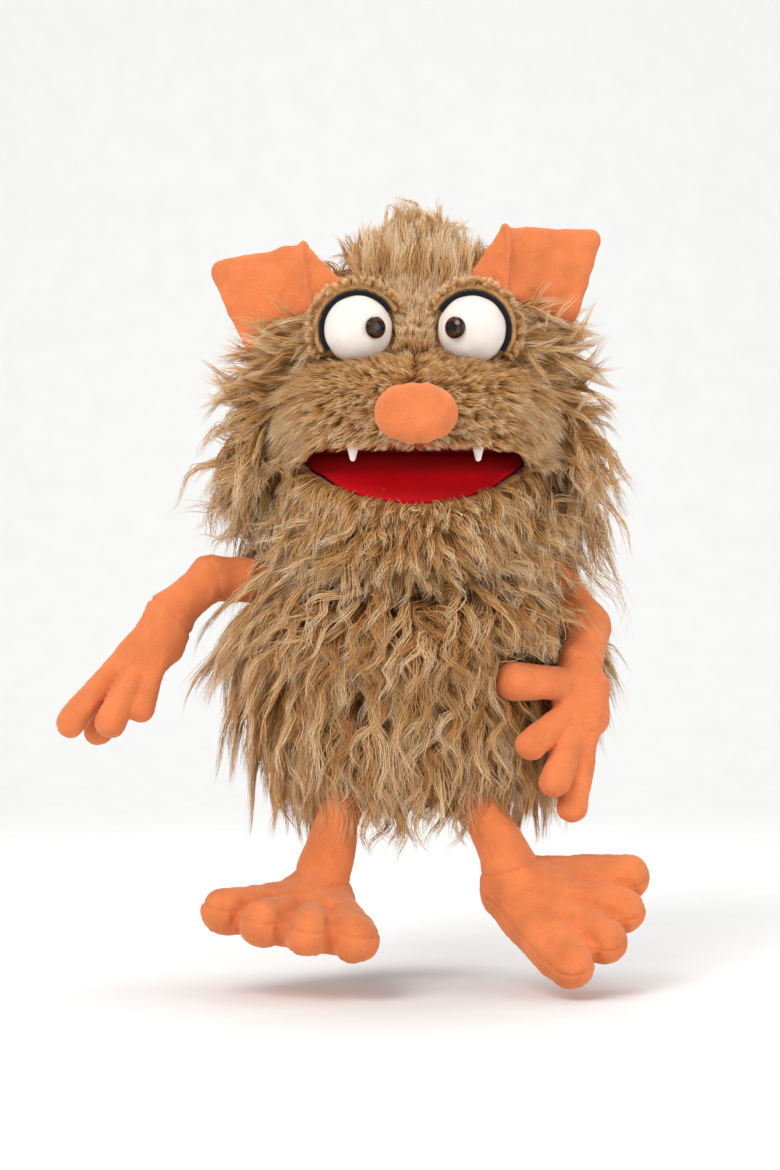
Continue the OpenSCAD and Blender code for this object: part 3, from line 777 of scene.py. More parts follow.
def arm(side):
    shape = HANDS[side]
    shoulder, elbow, wrist = (pivots[f"{j}_{side}"] for j in ("shoulder", "elbow", "wrist"))
    at = lambda offset: wrist + np.array(offset) * MM
    start = shoulder + unit(shoulder - elbow) * 2 * MM
    reach = [start, elbow, wrist] + [at(tip) for _, tip, _ in shape["digits"]]
    f = field_over(reach, 16, 1.6)
    soft = 5 * MM
    f.limb(start, elbow, 12.4 * MM, 11.6 * MM, soft)
    f.limb(elbow, wrist, 11.8 * MM, 11.2 * MM, 4 * MM)
    palm_normal = unit(np.cross(shape["across"], shape["knuckles"]))
    middle, _ = shape["palm"][0]
    for place, radius in shape["palm"][1:]:
        end, thin = at(np.array(place) * 0.88), (radius - 0.6) * MM
        f.limb(at(middle), end, 10.4 * MM, thin, soft, palm_normal, 0.86)
    a, b, radius = shape["heel"]
    f.limb(at(a), at(b), radius * MM, radius * MM, soft)
    for base, tip, radius in shape["digits"]:
        f.limb(at(base), at(tip), (radius - 1.9) * MM, radius * MM, 1.6 * MM)
    piece = f.mesh(f"arm_{side}_upper")
    outward(piece)
    relax(piece, 4)
    stuff(piece, 1.2)
    subdivide(piece)
    rumple(piece, 0.35, 16, 11 if side == "left" else 12)
    rumple(piece, 0.12, 5, 13)
    seam = lambda p: (p - at(shape["knuckles"])) @ palm_normal
    groove(piece, seam, 0.55, 0.9, lambda p: p @ unit(shape["knuckles"]))
    bend = unit(unit(elbow - shoulder) + unit(wrist - elbow))
    groove(piece, lambda p: (p - elbow) @ bend, 0.5, 2.2)
    fold = unit(unit(wrist - elbow) + unit(at(shape["knuckles"]) - wrist))
    groove(piece, lambda p: (p - wrist) @ fold, 0.9, 1.4)
    for (base_a, _, _), (base_b, _, _) in zip(shape["digits"], shape["digits"][1:]):
        web = at((np.array(base_a) + np.array(base_b)) / 2)
        root = at((np.array(base_a) + np.array(base_b)) * 0.36)
        groove(piece, lambda p: to_segment(p, root, web), 1.4, 1.9)
    forearm = unit(wrist - elbow)
    cut = (elbow + wrist) / 2
    upper, hand = halve(piece, f"hand_{side}_stuffed", cut, forearm)
    for half, word in ((upper, "arm"), (hand, "hand")):
        half.name = f"{word}_{side}_stuffed"
        half.data.materials.clear()
        half.data.materials.append(VELOUR)
    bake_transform(upper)
    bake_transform(hand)
    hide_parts(f"upper_arm_{side}", f"upper_arm_wadding_{side}")
    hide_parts(f"forearm_{side}", f"forearm_wadding_{side}", f"hand_{side}", f"hand_wadding_{side}")


def turned(x=0, y=0, z=0):
    """Rotation about X, then Y, then Z, in degrees."""
    total = np.eye(3)
    for angle, axis in ((x, 0), (y, 1), (z, 2)):
        c, s = math.cos(math.radians(angle)), math.sin(math.radians(angle))
        one = np.eye(3)
        i, j = [(1, 2), (2, 0), (0, 1)][axis]
        one[i, i], one[i, j], one[j, i], one[j, j] = c, -s, s, c
        total = one @ total
    return total


TOES = [(-35, -51), (-12, -59), (12, -58), (35, -50)]
FOOT_TURNS = {
    "left": turned(10, 8) @ turned(z=-14),
    "right": turned(40) @ turned(z=62),
}


FOOT_OUTLINE = [(-9, 2), (-35, -42), (-12, -50), (12, -50), (35, -42), (9, 2)]


def leg(side):
    hip, ankle = pivots[f"hip_{side}"], pivots[f"ankle_{side}"]
    turn = FOOT_TURNS[side]
    at = lambda x, y, z: ankle + turn @ np.array([x, y, z]) * MM
    down = turn @ np.array([0, 0, -1.0])
    top = hip + unit(hip - ankle) * 8 * MM
    reach = [top] + [at(x, y, z) for x in (-40, 40) for y in (10, -66) for z in (0, -20)]
    f = field_over(reach, 15, 1.7)
    f.limb(top, ankle + unit(hip - ankle) * 4 * MM, 10.3 * MM, 14.2 * MM, 4 * MM)
    f.limb(at(0, 1, -4), at(0, -20, -9), 14.6 * MM, 14 * MM, 3.5 * MM)
    local = (f.at - ankle) @ turn / MM
    flat = polygon_distance(local[..., :2], FOOT_OUTLINE)
    slab = np.hypot(np.maximum(flat, 0), np.maximum(np.abs(local[..., 2] + 12.4) - 1.4, 0)) - 9.4
    slab = np.where(flat > 0, slab, np.maximum(np.abs(local[..., 2] + 12.4) - 10.8, flat - 9))
    f.join(slab * MM, 8 * MM)
    for x, y in TOES:
        f.limb(at(x * 0.8, y * 0.82, -11.8), at(x, y, -11.6), 11.2 * MM, 12.4 * MM, 1.8 * MM)
    # The sole is a flat panel: it cuts the underside off
    f.d = np.maximum(f.d, (f.at - at(0, 0, -22.2)) @ down)
    piece = f.mesh(f"leg_{side}_stuffed")
    outward(piece)
    relax(piece, 4)
    stuff(piece, 1.2)
    subdivide(piece)
    rumple(piece, 0.4, 15, 21 if side == "left" else 22)
    rumple(piece, 0.12, 5, 23)
    front = lambda p: (p - ankle) @ turn[:, 1]
    seam = lambda p: (p - at(0, 0, -7.6)) @ down
    groove(piece, lambda p: np.where(front(p) < 6 * MM, seam(p), 1.0), 1.2, 1.0,
           lambda p: (p - ankle) @ turn[:, 0])
    groove(piece, lambda p: (p - at(0, 0, -20.8)) @ down, 0.5, 0.9)
    for (xa, ya), (xb, yb) in zip(TOES, TOES[1:]):
        x, y = (xa + xb) / 2, (ya + yb) / 2
        instep, edge = at(x * 0.62, y * 0.64, -1.0), at(x * 1.04, y * 1.1, -3.0)
        groove(piece, lambda p: to_segment(p, instep, edge), 3.0, 2.8)
        upper, lower = at(x * 1.06, y * 1.12, -2.0), at(x * 1.06, y * 1.12, -20.0)
        groove(piece, lambda p: to_segment(p, upper, lower), 2.6, 2.6)
    cuff = unit(unit(ankle - hip) * 0.6 + down * 0.4)
    groove(piece, lambda p: (p - ankle - unit(hip - ankle) * 3 * MM) @ cuff, 1.0, 1.1,
           lambda p: p @ turn[:, 0])
    piece.data.materials.clear()
    piece.data.materials.append(VELOUR)
    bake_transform(piece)
    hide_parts(f"leg_{side}", f"leg_wadding_{side}", f"foot_upper_{side}",
                f"foot_wadding_{side}", f"foot_sole_{side}")


EAR_CORNERS = [(8.5, 6.5), (60, 5.5), (60, 47.5), (15, 31)]
EAR_FOLD = 21.5
EAR_LEAN = {"left": 28, "right": 19}


def ear_turn(side):
    turn = turned(z=22) @ turned(y=EAR_LEAN[side])
    return np.diag([SIDES[side], 1, 1]) @ turn


def ear(side):
    """A thin pillow of two velour panels, folded near its inner edge."""
    f = Field(np.array([-6, -14, -6]) * MM, np.array([74, 14, 64]) * MM, 1.4 * MM)
    edge = polygon_distance(f.at[..., [0, 2]] / MM, EAR_CORNERS) - 5.5
    inside = np.clip(-edge / 12, 0, 1)
    half = 0.6 + 4.0 * np.sqrt(1 - (1 - inside) ** 2)
    bulge = np.abs(f.at[..., 1]) / MM - half
    rim = np.hypot(np.maximum(edge, 0), np.maximum(bulge, 0))
    f.d = np.where((edge > 0) | (bulge > 0), rim, np.maximum(bulge, edge)) * MM - 0.4 * MM
    piece = f.mesh(f"ear_{side}_stuffed")
    relax(piece, 3)
    stuff(piece, 0.9)
    subdivide(piece)
    rumple(piece, 0.5, 17, 31 if side == "left" else 32)
    rumple(piece, 0.15, 6, 33)
    points = points_of(piece)
    x, z = points[:, 0] / MM, points[:, 2] / MM
    line = EAR_FOLD - 0.27 * z
    groove(piece, lambda p: (x - line) * MM, 2.4, 1.8)
    points = points_of(piece)
    points[:, 1] += np.maximum(line - x, 0) * 0.3 * MM
    points[:, 1] += 2.6 * MM * np.sin(np.clip(x, 0, 66) / 66 * math.pi) * (z / 50)
    set_points(piece, pivots[f"ear_flop_{side}"] + points @ ear_turn(side).T)
    outward(piece)
    finish_piece(piece, f"ear_{side}", VELOUR, f"ear_front_{side}", f"ear_back_{side}")


def nose():
    low, high = (np.array(v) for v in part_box("nose_cover"))
    centre, half = (low + high) / 2, (high - low) / 2
    f = Field(low - 4 * MM, high + 4 * MM, 0.8 * MM)
    p = (f.at - centre) / half
    r = (np.abs(p[..., 0]) ** 2.2 + np.abs(p[..., 1]) ** 2 + np.abs(p[..., 2]) ** 2.2) ** (1 / 2.1)
    f.d = (r - 0.99) * half.min()
    piece = f.mesh("nose_stuffed")
    outward(piece)
    relax(piece, 4)
    stuff(piece, 0.6)
    rumple(piece, 0.45, 11, 41)
    rumple(piece, 0.1, 3.5, 42)
    finish_piece(piece, "head", VELOUR, "nose_cover", "nose_wadding")


def eye(side):
    """A felt dome over wadding, with the pupil's button pulled into it."""
    low, high = (np.array(v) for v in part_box(f"eye_{side}"))
    half = (high - low) / 2 + 0.7 * MM
    centre = np.array([(low[0] + high[0]) / 2, high[1], (low[2] + high[2]) / 2])
    deep = high[1] - low[1] + 0.2 * MM
    rings, around = 22, 56
    points, quads = [], []
    for j in range(rings + 1):
        angle = math.pi / 2 * j / rings
        for i in range(around):
            a = 2 * math.pi * i / around
            points.append((half[0] * math.cos(a) * math.cos(angle), -deep * math.sin(angle),
                           half[2] * math.sin(a) * math.cos(angle)))
    for j in range(rings):
        for i in range(around):
            k = (i + 1) % around
            quads.append((j * around + i, (j + 1) * around + i, (j + 1) * around + k, j * around + k))
    base = len(points)
    points += [(x, 0.4 * MM, z) for x, _, z in points[:around]]
    quads += [(base + i, i, (i + 1) % around, base + (i + 1) % around) for i in range(around)]
    piece = new_mesh(f"eye_dome_{side}", centre + np.array(points), quads)
    outward(piece)
    button = (np.array(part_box(f"pupil_{side}")[0]) + np.array(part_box(f"pupil_{side}")[1])) / 2
    points, normals = points_of(piece), normals_of(piece)
    near = np.linalg.norm(points - button, axis=1)
    press = 0.9 * MM * np.exp(-((near / (7.5 * MM)) ** 2))
    press -= 0.15 * MM * drift(points, 9 * MM, 51)
    set_points(piece, points - normals * press[:, None])
    finish_piece(piece, "head", WHITE_FELT, f"eye_{side}")
    return piece


def pupil_look(side):
    """Moulded safety eye: black pupil, brown iris, dark rim."""
    low, high = (np.array(v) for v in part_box(f"pupil_{side}"))
    centre = (low + high) / 2
    toe_in = math.radians(31)
    look = np.array([-SIDES[side] * math.sin(toe_in), -math.cos(toe_in), 0])
    front = centre + look * 5 * MM
    s = Shade(f"pupil_{side}", 0.12, Coat_Weight=0.15, Coat_Roughness=0.03, Specular_IOR_Level=0.28)
    away = s.node("ShaderNodeVectorMath", operation="DISTANCE")
    s.link(s.place(), away.inputs[0])
    away.inputs[1].default_value = front
    rings = s.ramp(
        s.maths("DIVIDE", away.outputs["Value"], 8 * MM),
        [(0.0, (0.004, 0.003, 0.003)), (0.43, (0.004, 0.003, 0.003)), (0.49, hue("5a3418")),
         (0.66, hue("3a2110")), (0.75, (0.006, 0.004, 0.004)), (1.0, (0.004, 0.003, 0.003))],
    )
    spokes = s.ramp(s.noise(0.5, 4), [(0.3, 0.6), (0.7, 1.0)])
    s.colour(s.mix(0.7, rings, spokes, "MULTIPLY"))
    s.rough(s.ramp(s.noise(2), [(0.3, 0.1), (0.7, 0.16)]))
    return s.material


def fang(side):
    low, high = (np.array(v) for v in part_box(f"fang_{side}"))
    middle = (low + high) / 2
    f = Field(low - 3 * MM, high + 3 * MM, 0.5 * MM)
    radius = (high[0] - low[0]) / 2
    f.limb((middle[0], middle[1], high[2] - radius * 0.6), (middle[0], middle[1], low[2] + 1.5 * MM),
           radius * 0.96, 1.6 * MM, 1 * MM)
    f.d = np.maximum(f.d, f.at[..., 2] - high[2])
    piece = f.mesh(f"fang_felt_{side}")
    outward(piece)
    relax(piece, 3)
    finish_piece(piece, "head", WHITE_FELT, f"fang_{side}")


MOUTH_OPEN = math.radians(19)
LIP_SAG = 7 * MM


def mouth_felt():
    """One piece of felt: the palate, the fold at the back and the lining of the jaw."""
    hinge = pivots["jaw_open"]
    low_u, high_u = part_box("mouth_lining_upper")
    reach_u = hinge[1] - low_u[1]
    reach_l = (hinge[1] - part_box("mouth_lining_lower")[0][1]) / math.cos(MOUTH_OPEN)
    width = (high_u[0] - low_u[0]) / 2
    level = (low_u[2] + high_u[2]) / 2 - hinge[2]
    rows, columns = 60, 36
    points = []
    for j in range(rows + 1):
        t = j / rows * 2 - 1
        upper = t < 0
        reach = reach_u if upper else reach_l
        s = min(1.0, abs(t)) ** 0.85 * reach
        half = width * math.sqrt(max(0.0, 1 - (s / reach) ** 2.3)) + 0.2 * MM
        for i in range(columns + 1):
            u = i / columns * 2 - 1
            lift = level * min(1.0, s / (5 * MM))
            dish = 2.6 * MM * (1 - u * u) * math.sin(min(1.0, s / reach) * math.pi)
            ripple = 0.5 * MM * math.sin(u * 5 + s / MM * 0.09 + (0 if upper else 2))
            if upper:
                points.append((u * half, hinge[1] - s + 1.5 * MM, hinge[2] + lift + ripple * 0.4))
            else:
                down = dish * 0.45 + ripple * 0.5 + 2.5 * MM * min(1.0, s / (9 * MM))
                y = -s * math.cos(MOUTH_OPEN) - down * math.sin(MOUTH_OPEN)
                z = -s * math.sin(MOUTH_OPEN) + down * math.cos(MOUTH_OPEN)
                points.append((u * half, hinge[1] + y + 1.5 * MM, hinge[2] - lift * math.cos(MOUTH_OPEN) + z))
    n = columns + 1
    quads = [(j * n + i, j * n + i + 1, (j + 1) * n + i + 1, (j + 1) * n + i)
             for j in range(rows) for i in range(columns)]
    points = np.array(points)
    lower = slice((rows // 2 + 1) * n, None)
    points[lower, 2] -= lip_sag(points[lower])
    piece = new_mesh("mouth_felt", points, quads)
    thick = piece.modifiers.new("thick", "SOLIDIFY")
    thick.thickness = 1.3 * MM
    thick.offset = 0
    apply_modifiers(piece)
    outward(piece)
    piece.data.materials.append(RED_FELT)
    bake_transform(piece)
    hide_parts("mouth_lining_upper", "mouth_lining_lower", "mouth_fold")


# ---- The coat ----


def lie_close(strands):
    """Fur on the back lies flatter than at the front, where it was brushed up."""
    back, most = 83 * MM, 9 * MM
    over = np.maximum(strands[..., 1] - back, 0)
    strands[..., 1] += most * (1 - np.exp(-over / most)) - over
    return strands


class Growth:
    """How one patch of fur grows. Lengths are in millimetres."""

    def __init__(self, name, body, node, centre, locks, strands, seed, **more):
        self.name, self.body, self.node = name, body, node
        self.centre = np.array(centre) * MM
        self.locks, self.strands = locks, strands
        self.rng = np.random.default_rng(seed)
        self.more = more

    def grow(self, tree, material):
        m, rng = self.more, self.rng
        corners, normals = surface_of(self.node, self.centre, m.get("keep"))
        roots, out = scatter(corners, normals, self.locks, rng)
        roots = roots + out * 0.5 * MM
        flow = m["flow"](roots, out)
        flow = flow + rng.normal(0, m.get("stray", 0.14), flow.shape)
        flow = unit(flow - (flow * out).sum(1, keepdims=True) * out)
        length = m["length"](roots, rng) * MM
        height = m["height"](roots, rng) * MM
        lift = rng.uniform(*m.get("lift", (0.5, 1.0)), len(roots))
        droop = rng.uniform(*m.get("droop", (0.15, 0.4)), len(roots))
        path = guides(roots, out, flow, length, lift, height, droop, m.get("steps", 7), tree,
                      m.get("swing", (0.3, 45)), m.get("fade"), rng)
        strands = locks(path, out, self.strands, m.get("spread", 3.4) * MM, m.get("clump", 0.8),
                        m.get("wave", 2.0) * MM, m.get("wavelength", 24) * MM, rng, m.get("wild", 0.05))
        contrast = m.get("contrast", 1.0)
        strands = lie_close(strands)
        tones = rng.normal(m.get("tone", 0.5), 0.24 * contrast, len(roots))
        if "pale" in m:
            tones += m["pale"](roots)
        tones = np.repeat(tones, self.strands) + rng.normal(0, 0.13 * contrast, len(strands))
        if "drop" in m:
            stay = ~m["drop"](strands)
            strands, tones = strands[stay], tones[stay]
        return weave_strands(self.name, self.body, strands, m.get("width", 0.5) * MM, material, rng, tones)


def over_eyes(strands):
    hit = np.zeros(len(strands), bool)
    for side in SIDES:
        low, high = (np.array(v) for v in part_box(f"eye_{side}"))
        centre, radius = (low + high) / 2, (high[0] - low[0]) / 2
        off = strands - centre
        off[..., 1] = 0
        away = np.linalg.norm(off, axis=-1)
        lower = off[..., 2] < -0.45 * radius
        limit = np.where(lower, radius * 0.86, radius * 1.13)
        hit |= ((away < limit) & (strands[..., 1] < high[1] + 2 * MM)).any(1)
    return hit


def over_nose(strands):
    low, high = (np.array(v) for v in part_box("nose_cover"))
    p = (strands - (low + high) / 2) / ((high - low) / 2 * np.array([1.04, 1.6, 1.04]))
    return (np.linalg.norm(p, axis=-1) < 1).any(1)


def over_ears(strands):
    hit = np.zeros(len(strands), bool)
    for side in SIDES:
        p = (strands - pivots[f"ear_flop_{side}"]) @ ear_turn(side) / MM
        near = (p[..., 0] > 4) & (p[..., 2] > 9) & (np.abs(p[..., 1]) < 9) & (p[..., 0] < 68)
        hit |= near.any(1)
    return hit


def jaw_height(points):
    """Height over the jaw's lining, and distance forward of the mouth's hinge."""
    off = points - pivots["jaw_open"]
    up = -off[..., 1] * math.sin(MOUTH_OPEN) + off[..., 2] * math.cos(MOUTH_OPEN)
    forward = -off[..., 1] * math.cos(MOUTH_OPEN) - off[..., 2] * math.sin(MOUTH_OPEN)
    return up, forward


def over_mouth_from_above(strands):
    hinge = pivots["jaw_open"]
    inside = (np.abs(strands[..., 0]) < 56 * MM) & (strands[..., 1] < hinge[1] - 4 * MM)
    up, _ = jaw_height(strands)
    return (inside & (strands[..., 2] < hinge[2] - 3 * MM) & (up > -2 * MM)).any(1)


def beside_mouth(strands):
    """Strands that hang in front of the open mouth."""
    up, _ = jaw_height(strands)
    low = strands[..., 2] < pivots["jaw_open"][2] + 2 * MM
    return ((np.abs(strands[..., 0]) < 57 * MM) & (up > -3 * MM) & low).any(1)


def lip_sag(points):
    """How far the lower lip sags below the jaw's plane, over the width of the mouth."""
    _, forward = jaw_height(points)
    middle = np.maximum(0, 1 - (points[..., 0] / (56 * MM)) ** 2)
    return LIP_SAG * middle * smooth_step((forward - 38 * MM) / (14 * MM))


def over_mouth_from_below(strands):
    up, forward = jaw_height(strands)
    limit = 3 * MM - lip_sag(strands)
    return ((np.abs(strands[..., 0]) < 60 * MM) & (up > limit) & (forward < 100 * MM)).any(1)


def sag_lip(piece):
    """Bends a part of the jaw down under the sagging lip, as its felt is bent."""
    points = points_of(piece)
    up, _ = jaw_height(points)
    points[:, 2] -= lip_sag(points) * smooth_step((up / MM + 26) / 20)
    set_points(piece, points)


def slim_lid(piece, side):
    """A thinner roll round the eye than the tube it is cut from."""
    low, high = (np.array(v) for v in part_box(f"eye_{side}"))
    centre = (low + high) / 2
    points = points_of(piece)
    off = points - centre
    away = np.hypot(off[:, 0], off[:, 2])
    inner = away.min()
    slim = inner + (away - inner) * 0.6
    points[:, [0, 2]] = centre[[0, 2]] + off[:, [0, 2]] * (slim / away)[:, None]
    back = points[:, 1].max()
    points[:, 1] = back + (points[:, 1] - back) * 0.8
    set_points(piece, points)


def in_front_of(pieces, low_x, high_z):
    """Strands that lie before or inside these pieces, right of low_x and below high_z."""
    points, faces = [], []
    for piece in pieces:
        base = len(points)
        points += [tuple(v.co) for v in piece.data.vertices]
        faces += [[base + i for i in f.vertices] for f in piece.data.polygons]
    tree = BVHTree.FromPolygons(points, faces)

    def hit(strands):
        found = np.zeros(len(strands), bool)
        near = (strands[..., 0] > low_x * MM) & (strands[..., 2] < high_z * MM) & (strands[..., 1] < 0)
        for i, k in zip(*np.nonzero(near)):
            if not found[i]:
                start = Vector(strands[i, k]) - Vector((0, 2 * MM, 0))
                found[i] = tree.ray_cast(start, Vector((0, 1, 0)), 60 * MM)[0] is not None
        return found

    return hit


def in_millimetres(points):
    return points[:, 0] / MM, points[:, 1] / MM, points[:, 2] / MM


def head_flow(points, normals):
    """Away from the nose over the face, down over the back and the cheeks."""
    x, y, z = in_millimetres(points)
    away = points - np.array([0, 0, 205]) * MM
    away[:, 1] = 0
    away = unit(away)
    behind = smooth_step((y - 5) / 45)[:, None]
    low = smooth_step((205 - z) / 40)[:, None]
    flow = away * (1 - behind) + np.array([0, 0.3, 0]) * (1 - behind) - UP * behind * 1.1
    return flow - UP * (0.15 + 0.5 * low)


def about(length, least, most):
    """Lengths spread between two shares of a usual one."""
    return lambda points, rng: length * rng.uniform(least, most, len(points))


def rising(least, more):
    """Heights above the skin from least up to least + more."""
    return lambda points, rng: least + more * rng.random(len(points))


def is_face(middles, normals):
    x, y, z = in_millimetres(middles)
    return (y < -12) & (np.hypot(x / 68, (z - 215) / 44) < 1)


def grow_coat(right_arm):
    body_tree = tree_of("body_fur")
    head_tree = tree_of("head_fur", "muzzle_fur", "crown_tuft")
    jaw_tree = tree_of("jaw_fur")

    def down(points, normals):
        side = np.cross(UP, normals)
        sway = drift(points, 70 * MM, 61)[:, None] * 0.35
        return -UP + side * sway

    def body_length(points, rng):
        high = smooth_step((points[:, 2] / MM - 12) / 50)
        return (46 + 36 * high) * rng.uniform(0.65, 1.2, len(points))

    def body_height(points, rng):
        x, y, z = in_millimetres(points)
        sides = smooth_step((np.abs(x) - 28) / 28)
        most = 12 + 13 * smooth_step((z - 58) / 26) * sides
        most = most * (1 - 0.5 * smooth_step((y - 10) / 40))
        return 2 + most * rng.random(len(points)) ** 0.9

    def gather(points):
        return 0.15 + 0.85 * smooth_step((points[:, 2] / MM - 2) / 55)

    Growth(
        "fur_body", "body", "body_fur", (0, 0, 55), 1180, 21, 71,
        flow=down, keep=lambda c, n: (n[:, 2] > -0.7), length=body_length, height=body_height,
        fade=gather, lift=(0.2, 0.7), droop=(0.4, 0.9), wave=1.2, wavelength=38, spread=5.0, clump=0.96,
        swing=(1.1, 44), stray=0.14, wild=0.05, width=0.58, drop=in_front_of(right_arm, 30, 96),
        steps=8, tone=0.58, contrast=1.9,
    ).grow(body_tree, LONG_FUR)

    def shoulders(middles, normals):
        x, y, z = in_millimetres(middles)
        return (z > 76) & (np.abs(x) > 30) & (y < 12)

    Growth(
        "fur_shoulders", "body", "body_fur", (0, 0, 55), 330, 15, 77,
        flow=lambda p, n: np.sign(p[:, :1]) * np.array([1.0, 0, 0]) - UP * 0.45 - np.array([0, 0.35, 0]),
        keep=shoulders,
        length=about(68, 0.7, 1.15), height=rising(5, 18),
        fade=gather, lift=(1.8, 3.4), droop=(0.35, 0.75), wave=1.2, wavelength=36, spread=5.0, clump=0.95,
        contrast=1.7, swing=(1.0, 42), stray=0.25, wild=0.07, steps=7, width=0.57, tone=0.55,
        drop=in_front_of(right_arm, 30, 78),
    ).grow(tree_of("body_fur", "arm_left_stuffed", "arm_right_stuffed"), LONG_FUR)

    def bib(middles, normals):
        x, y, z = in_millimetres(middles)
        return (z > 78) & (np.abs(x) < 62) & (y < -6)

    Growth(
        "fur_bib", "body", "body_fur", (0, 0, 55), 330, 16, 81,
        flow=lambda p, n: -UP + p * np.array([5.0, 0, 0]), keep=bib,
        length=about(70, 0.7, 1.15), height=rising(8, 20),
        fade=gather, lift=(0.8, 1.9), droop=(0.5, 1.0), wave=1.2, wavelength=36, spread=5.0, clump=0.95,
        contrast=1.8, swing=(1.1, 42), stray=0.22, wild=0.07, steps=7, width=0.57, tone=0.52,
        drop=in_front_of(right_arm, 30, 96),
    ).grow(body_tree, LONG_FUR)

    def drop_head(s):
        return over_eyes(s) | over_nose(s) | over_ears(s) | over_mouth_from_above(s)

    def head_length(points, rng):
        x, y, z = in_millimetres(points)
        low = smooth_step((215 - z) / 40)
        front = 1 - smooth_step((y + 20) / 30)
        near = 1 - smooth_step((np.hypot(x / 68, (z - 215) / 44) - 1) / 0.4)
        hang = smooth_step((186 - z) / 34) * (1 - smooth_step((y - 20) / 30))
        return (32 + 30 * low + 26 * hang - 16 * front * near) * rng.uniform(0.7, 1.12, len(points))

    def head_height(points, rng):
        x, y, z = in_millimetres(points)
        behind = smooth_step((y - 10) / 35)
        most = 8 - 4 * behind + 17 * smooth_step((212 - z) / 40) * (1 - behind)
        return 2 + most * rng.random(len(points))

    Growth(
        "fur_head", "head", "head_fur", (0, 0, 205), 1300, 13, 72,
        keep=lambda c, n: ~is_face(c, n), flow=head_flow, length=head_length, height=head_height,
        lift=(0.5, 1.2), droop=(0.2, 0.6), wave=1.8, wavelength=30, spread=4.4, clump=0.91,
        swing=(0.85, 42), stray=0.18, wild=0.06, width=0.53, tone=0.56, contrast=1.5, drop=drop_head,
    ).grow(tree_of("head_fur", "muzzle_fur", "crown_tuft", "arm_left_stuffed", "arm_right_stuffed"), HEAD_FUR)

    def jowls(middles, normals):
        x, y, z = in_millimetres(middles)
        return (np.abs(x) > 46) & (y < 2) & (z < 190)

    Growth(
        "fur_jowls", "head", "head_fur", (0, 0, 205), 190, 14, 82, keep=jowls,
        flow=lambda p, n: -UP - np.array([0, 0.45, 0]) + np.sign(p[:, :1]) * np.array([0.12, 0, 0]),
        length=lambda p, r: (46 + 26 * r.random(len(p))) * r.uniform(0.75, 1.1, len(p)),
        height=rising(2, 9), lift=(0.4, 0.9), droop=(0.3, 0.6), wave=2.8,
        wavelength=30, spread=4.0, clump=0.86, swing=(0.7, 44), stray=0.16, wild=0.06, steps=7,
        width=0.53, tone=0.58, contrast=1.4, drop=lambda s: drop_head(s) | beside_mouth(s),
    ).grow(tree_of("head_fur", "jaw_fur", "arm_left_stuffed", "arm_right_stuffed"), HEAD_FUR)

    def cheeks(middles, normals):
        x, y, z = in_millimetres(middles)
        return (np.abs(x) > 50) & (y < 22) & (z > 168) & (z < 246)

    Growth(
        "fur_cheeks", "head", "head_fur", (0, 0, 205), 150, 18, 78, keep=cheeks,
        flow=lambda p, n: np.sign(p[:, :1]) * np.array([1.0, 0, 0]) + UP * ((p[:, 2:] / MM - 205) / 60),
        length=about(44, 0.6, 1.15), height=rising(1, 3),
        lift=(1.2, 2.6), droop=(0.0, 0.3), wave=1.3, wavelength=34, spread=4.6, clump=0.93,
        swing=(0.3, 50), stray=0.3, wild=0.05, steps=6, width=0.46, tone=0.58, drop=drop_head,
    ).grow(head_tree, HEAD_FUR)

    def temples(middles, normals):
        x, y, z = in_millimetres(middles)
        return (np.abs(x) > 40) & (np.abs(x) < 74) & (y < 2) & (z > 226) & (z < 262)

    Growth(
        "fur_temples", "head", "head_fur", (0, 0, 205), 130, 14, 79, keep=temples,
        flow=lambda p, n: np.sign(p[:, :1]) * np.array([1.0, 0, 0]) - np.array([0, 0.5, 0]) + UP * 0.1,
        length=about(38, 0.6, 1.15), height=rising(2, 4),
        lift=(0.9, 1.8), droop=(-0.1, 0.2), wave=1.3, wavelength=30, spread=4.0, clump=0.88,
        swing=(0.3, 44), stray=0.25, steps=6, width=0.46, tone=0.6, drop=over_eyes,
    ).grow(tree_of("head_fur", "ear_left_stuffed", "ear_right_stuffed"), HEAD_FUR)

    for side in SIDES:
        middle = (np.array(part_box(f"eyelid_{side}")[0]) + np.array(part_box(f"eyelid_{side}")[1])) / 2 / MM
        eye_middle = (np.array(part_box(f"eye_{side}")[0]) + np.array(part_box(f"eye_{side}")[1])) / 2
        Growth(
            f"fur_lid_{side}", "head", f"eyelid_{side}", tuple(middle), 150, 12, 80,
            flow=lambda p, n: (p - eye_middle) / (16 * MM) + np.array([0, 0.3, 0]),
            length=about(4.5, 0.6, 1.2), height=lambda p, r: 0 * p[:, 0],
            lift=(0.3, 0.9), droop=(0.0, 0.1), wave=0.4, wavelength=12, spread=1.8, clump=0.4,
            swing=(0.2, 20), steps=3, stray=0.25, width=0.36, tone=0.72, drop=over_eyes,
        ).grow(head_tree, SHORT_FUR)

    def face_length(points, rng):
        x, y, z = in_millimetres(points)
        edge = smooth_step((np.hypot(x / 68, (z - 215) / 44) - 0.55) / 0.45)
        return (9 + 9 * edge) * rng.uniform(0.7, 1.15, len(points))

    Growth(
        "fur_face", "head", "head_fur", (0, 0, 205), 1900, 11, 76,
        keep=is_face, flow=head_flow, length=face_length, height=rising(1, 4.5),
        lift=(0.35, 0.8), droop=(0.0, 0.15), wave=0.7, wavelength=18, spread=2.6, clump=0.3,
        swing=(0.2, 28), steps=3, stray=0.12, width=0.43, tone=0.5, drop=drop_head,
        pale=lambda p: 0.28 * smooth_step((p[:, 2] / MM - 214) / 22),
    ).grow(head_tree, HEAD_FUR)

    def crown_flow(points, normals):
        return UP + points * np.array([7.0, 0, 0]) - np.array([0, 0.1, 0])

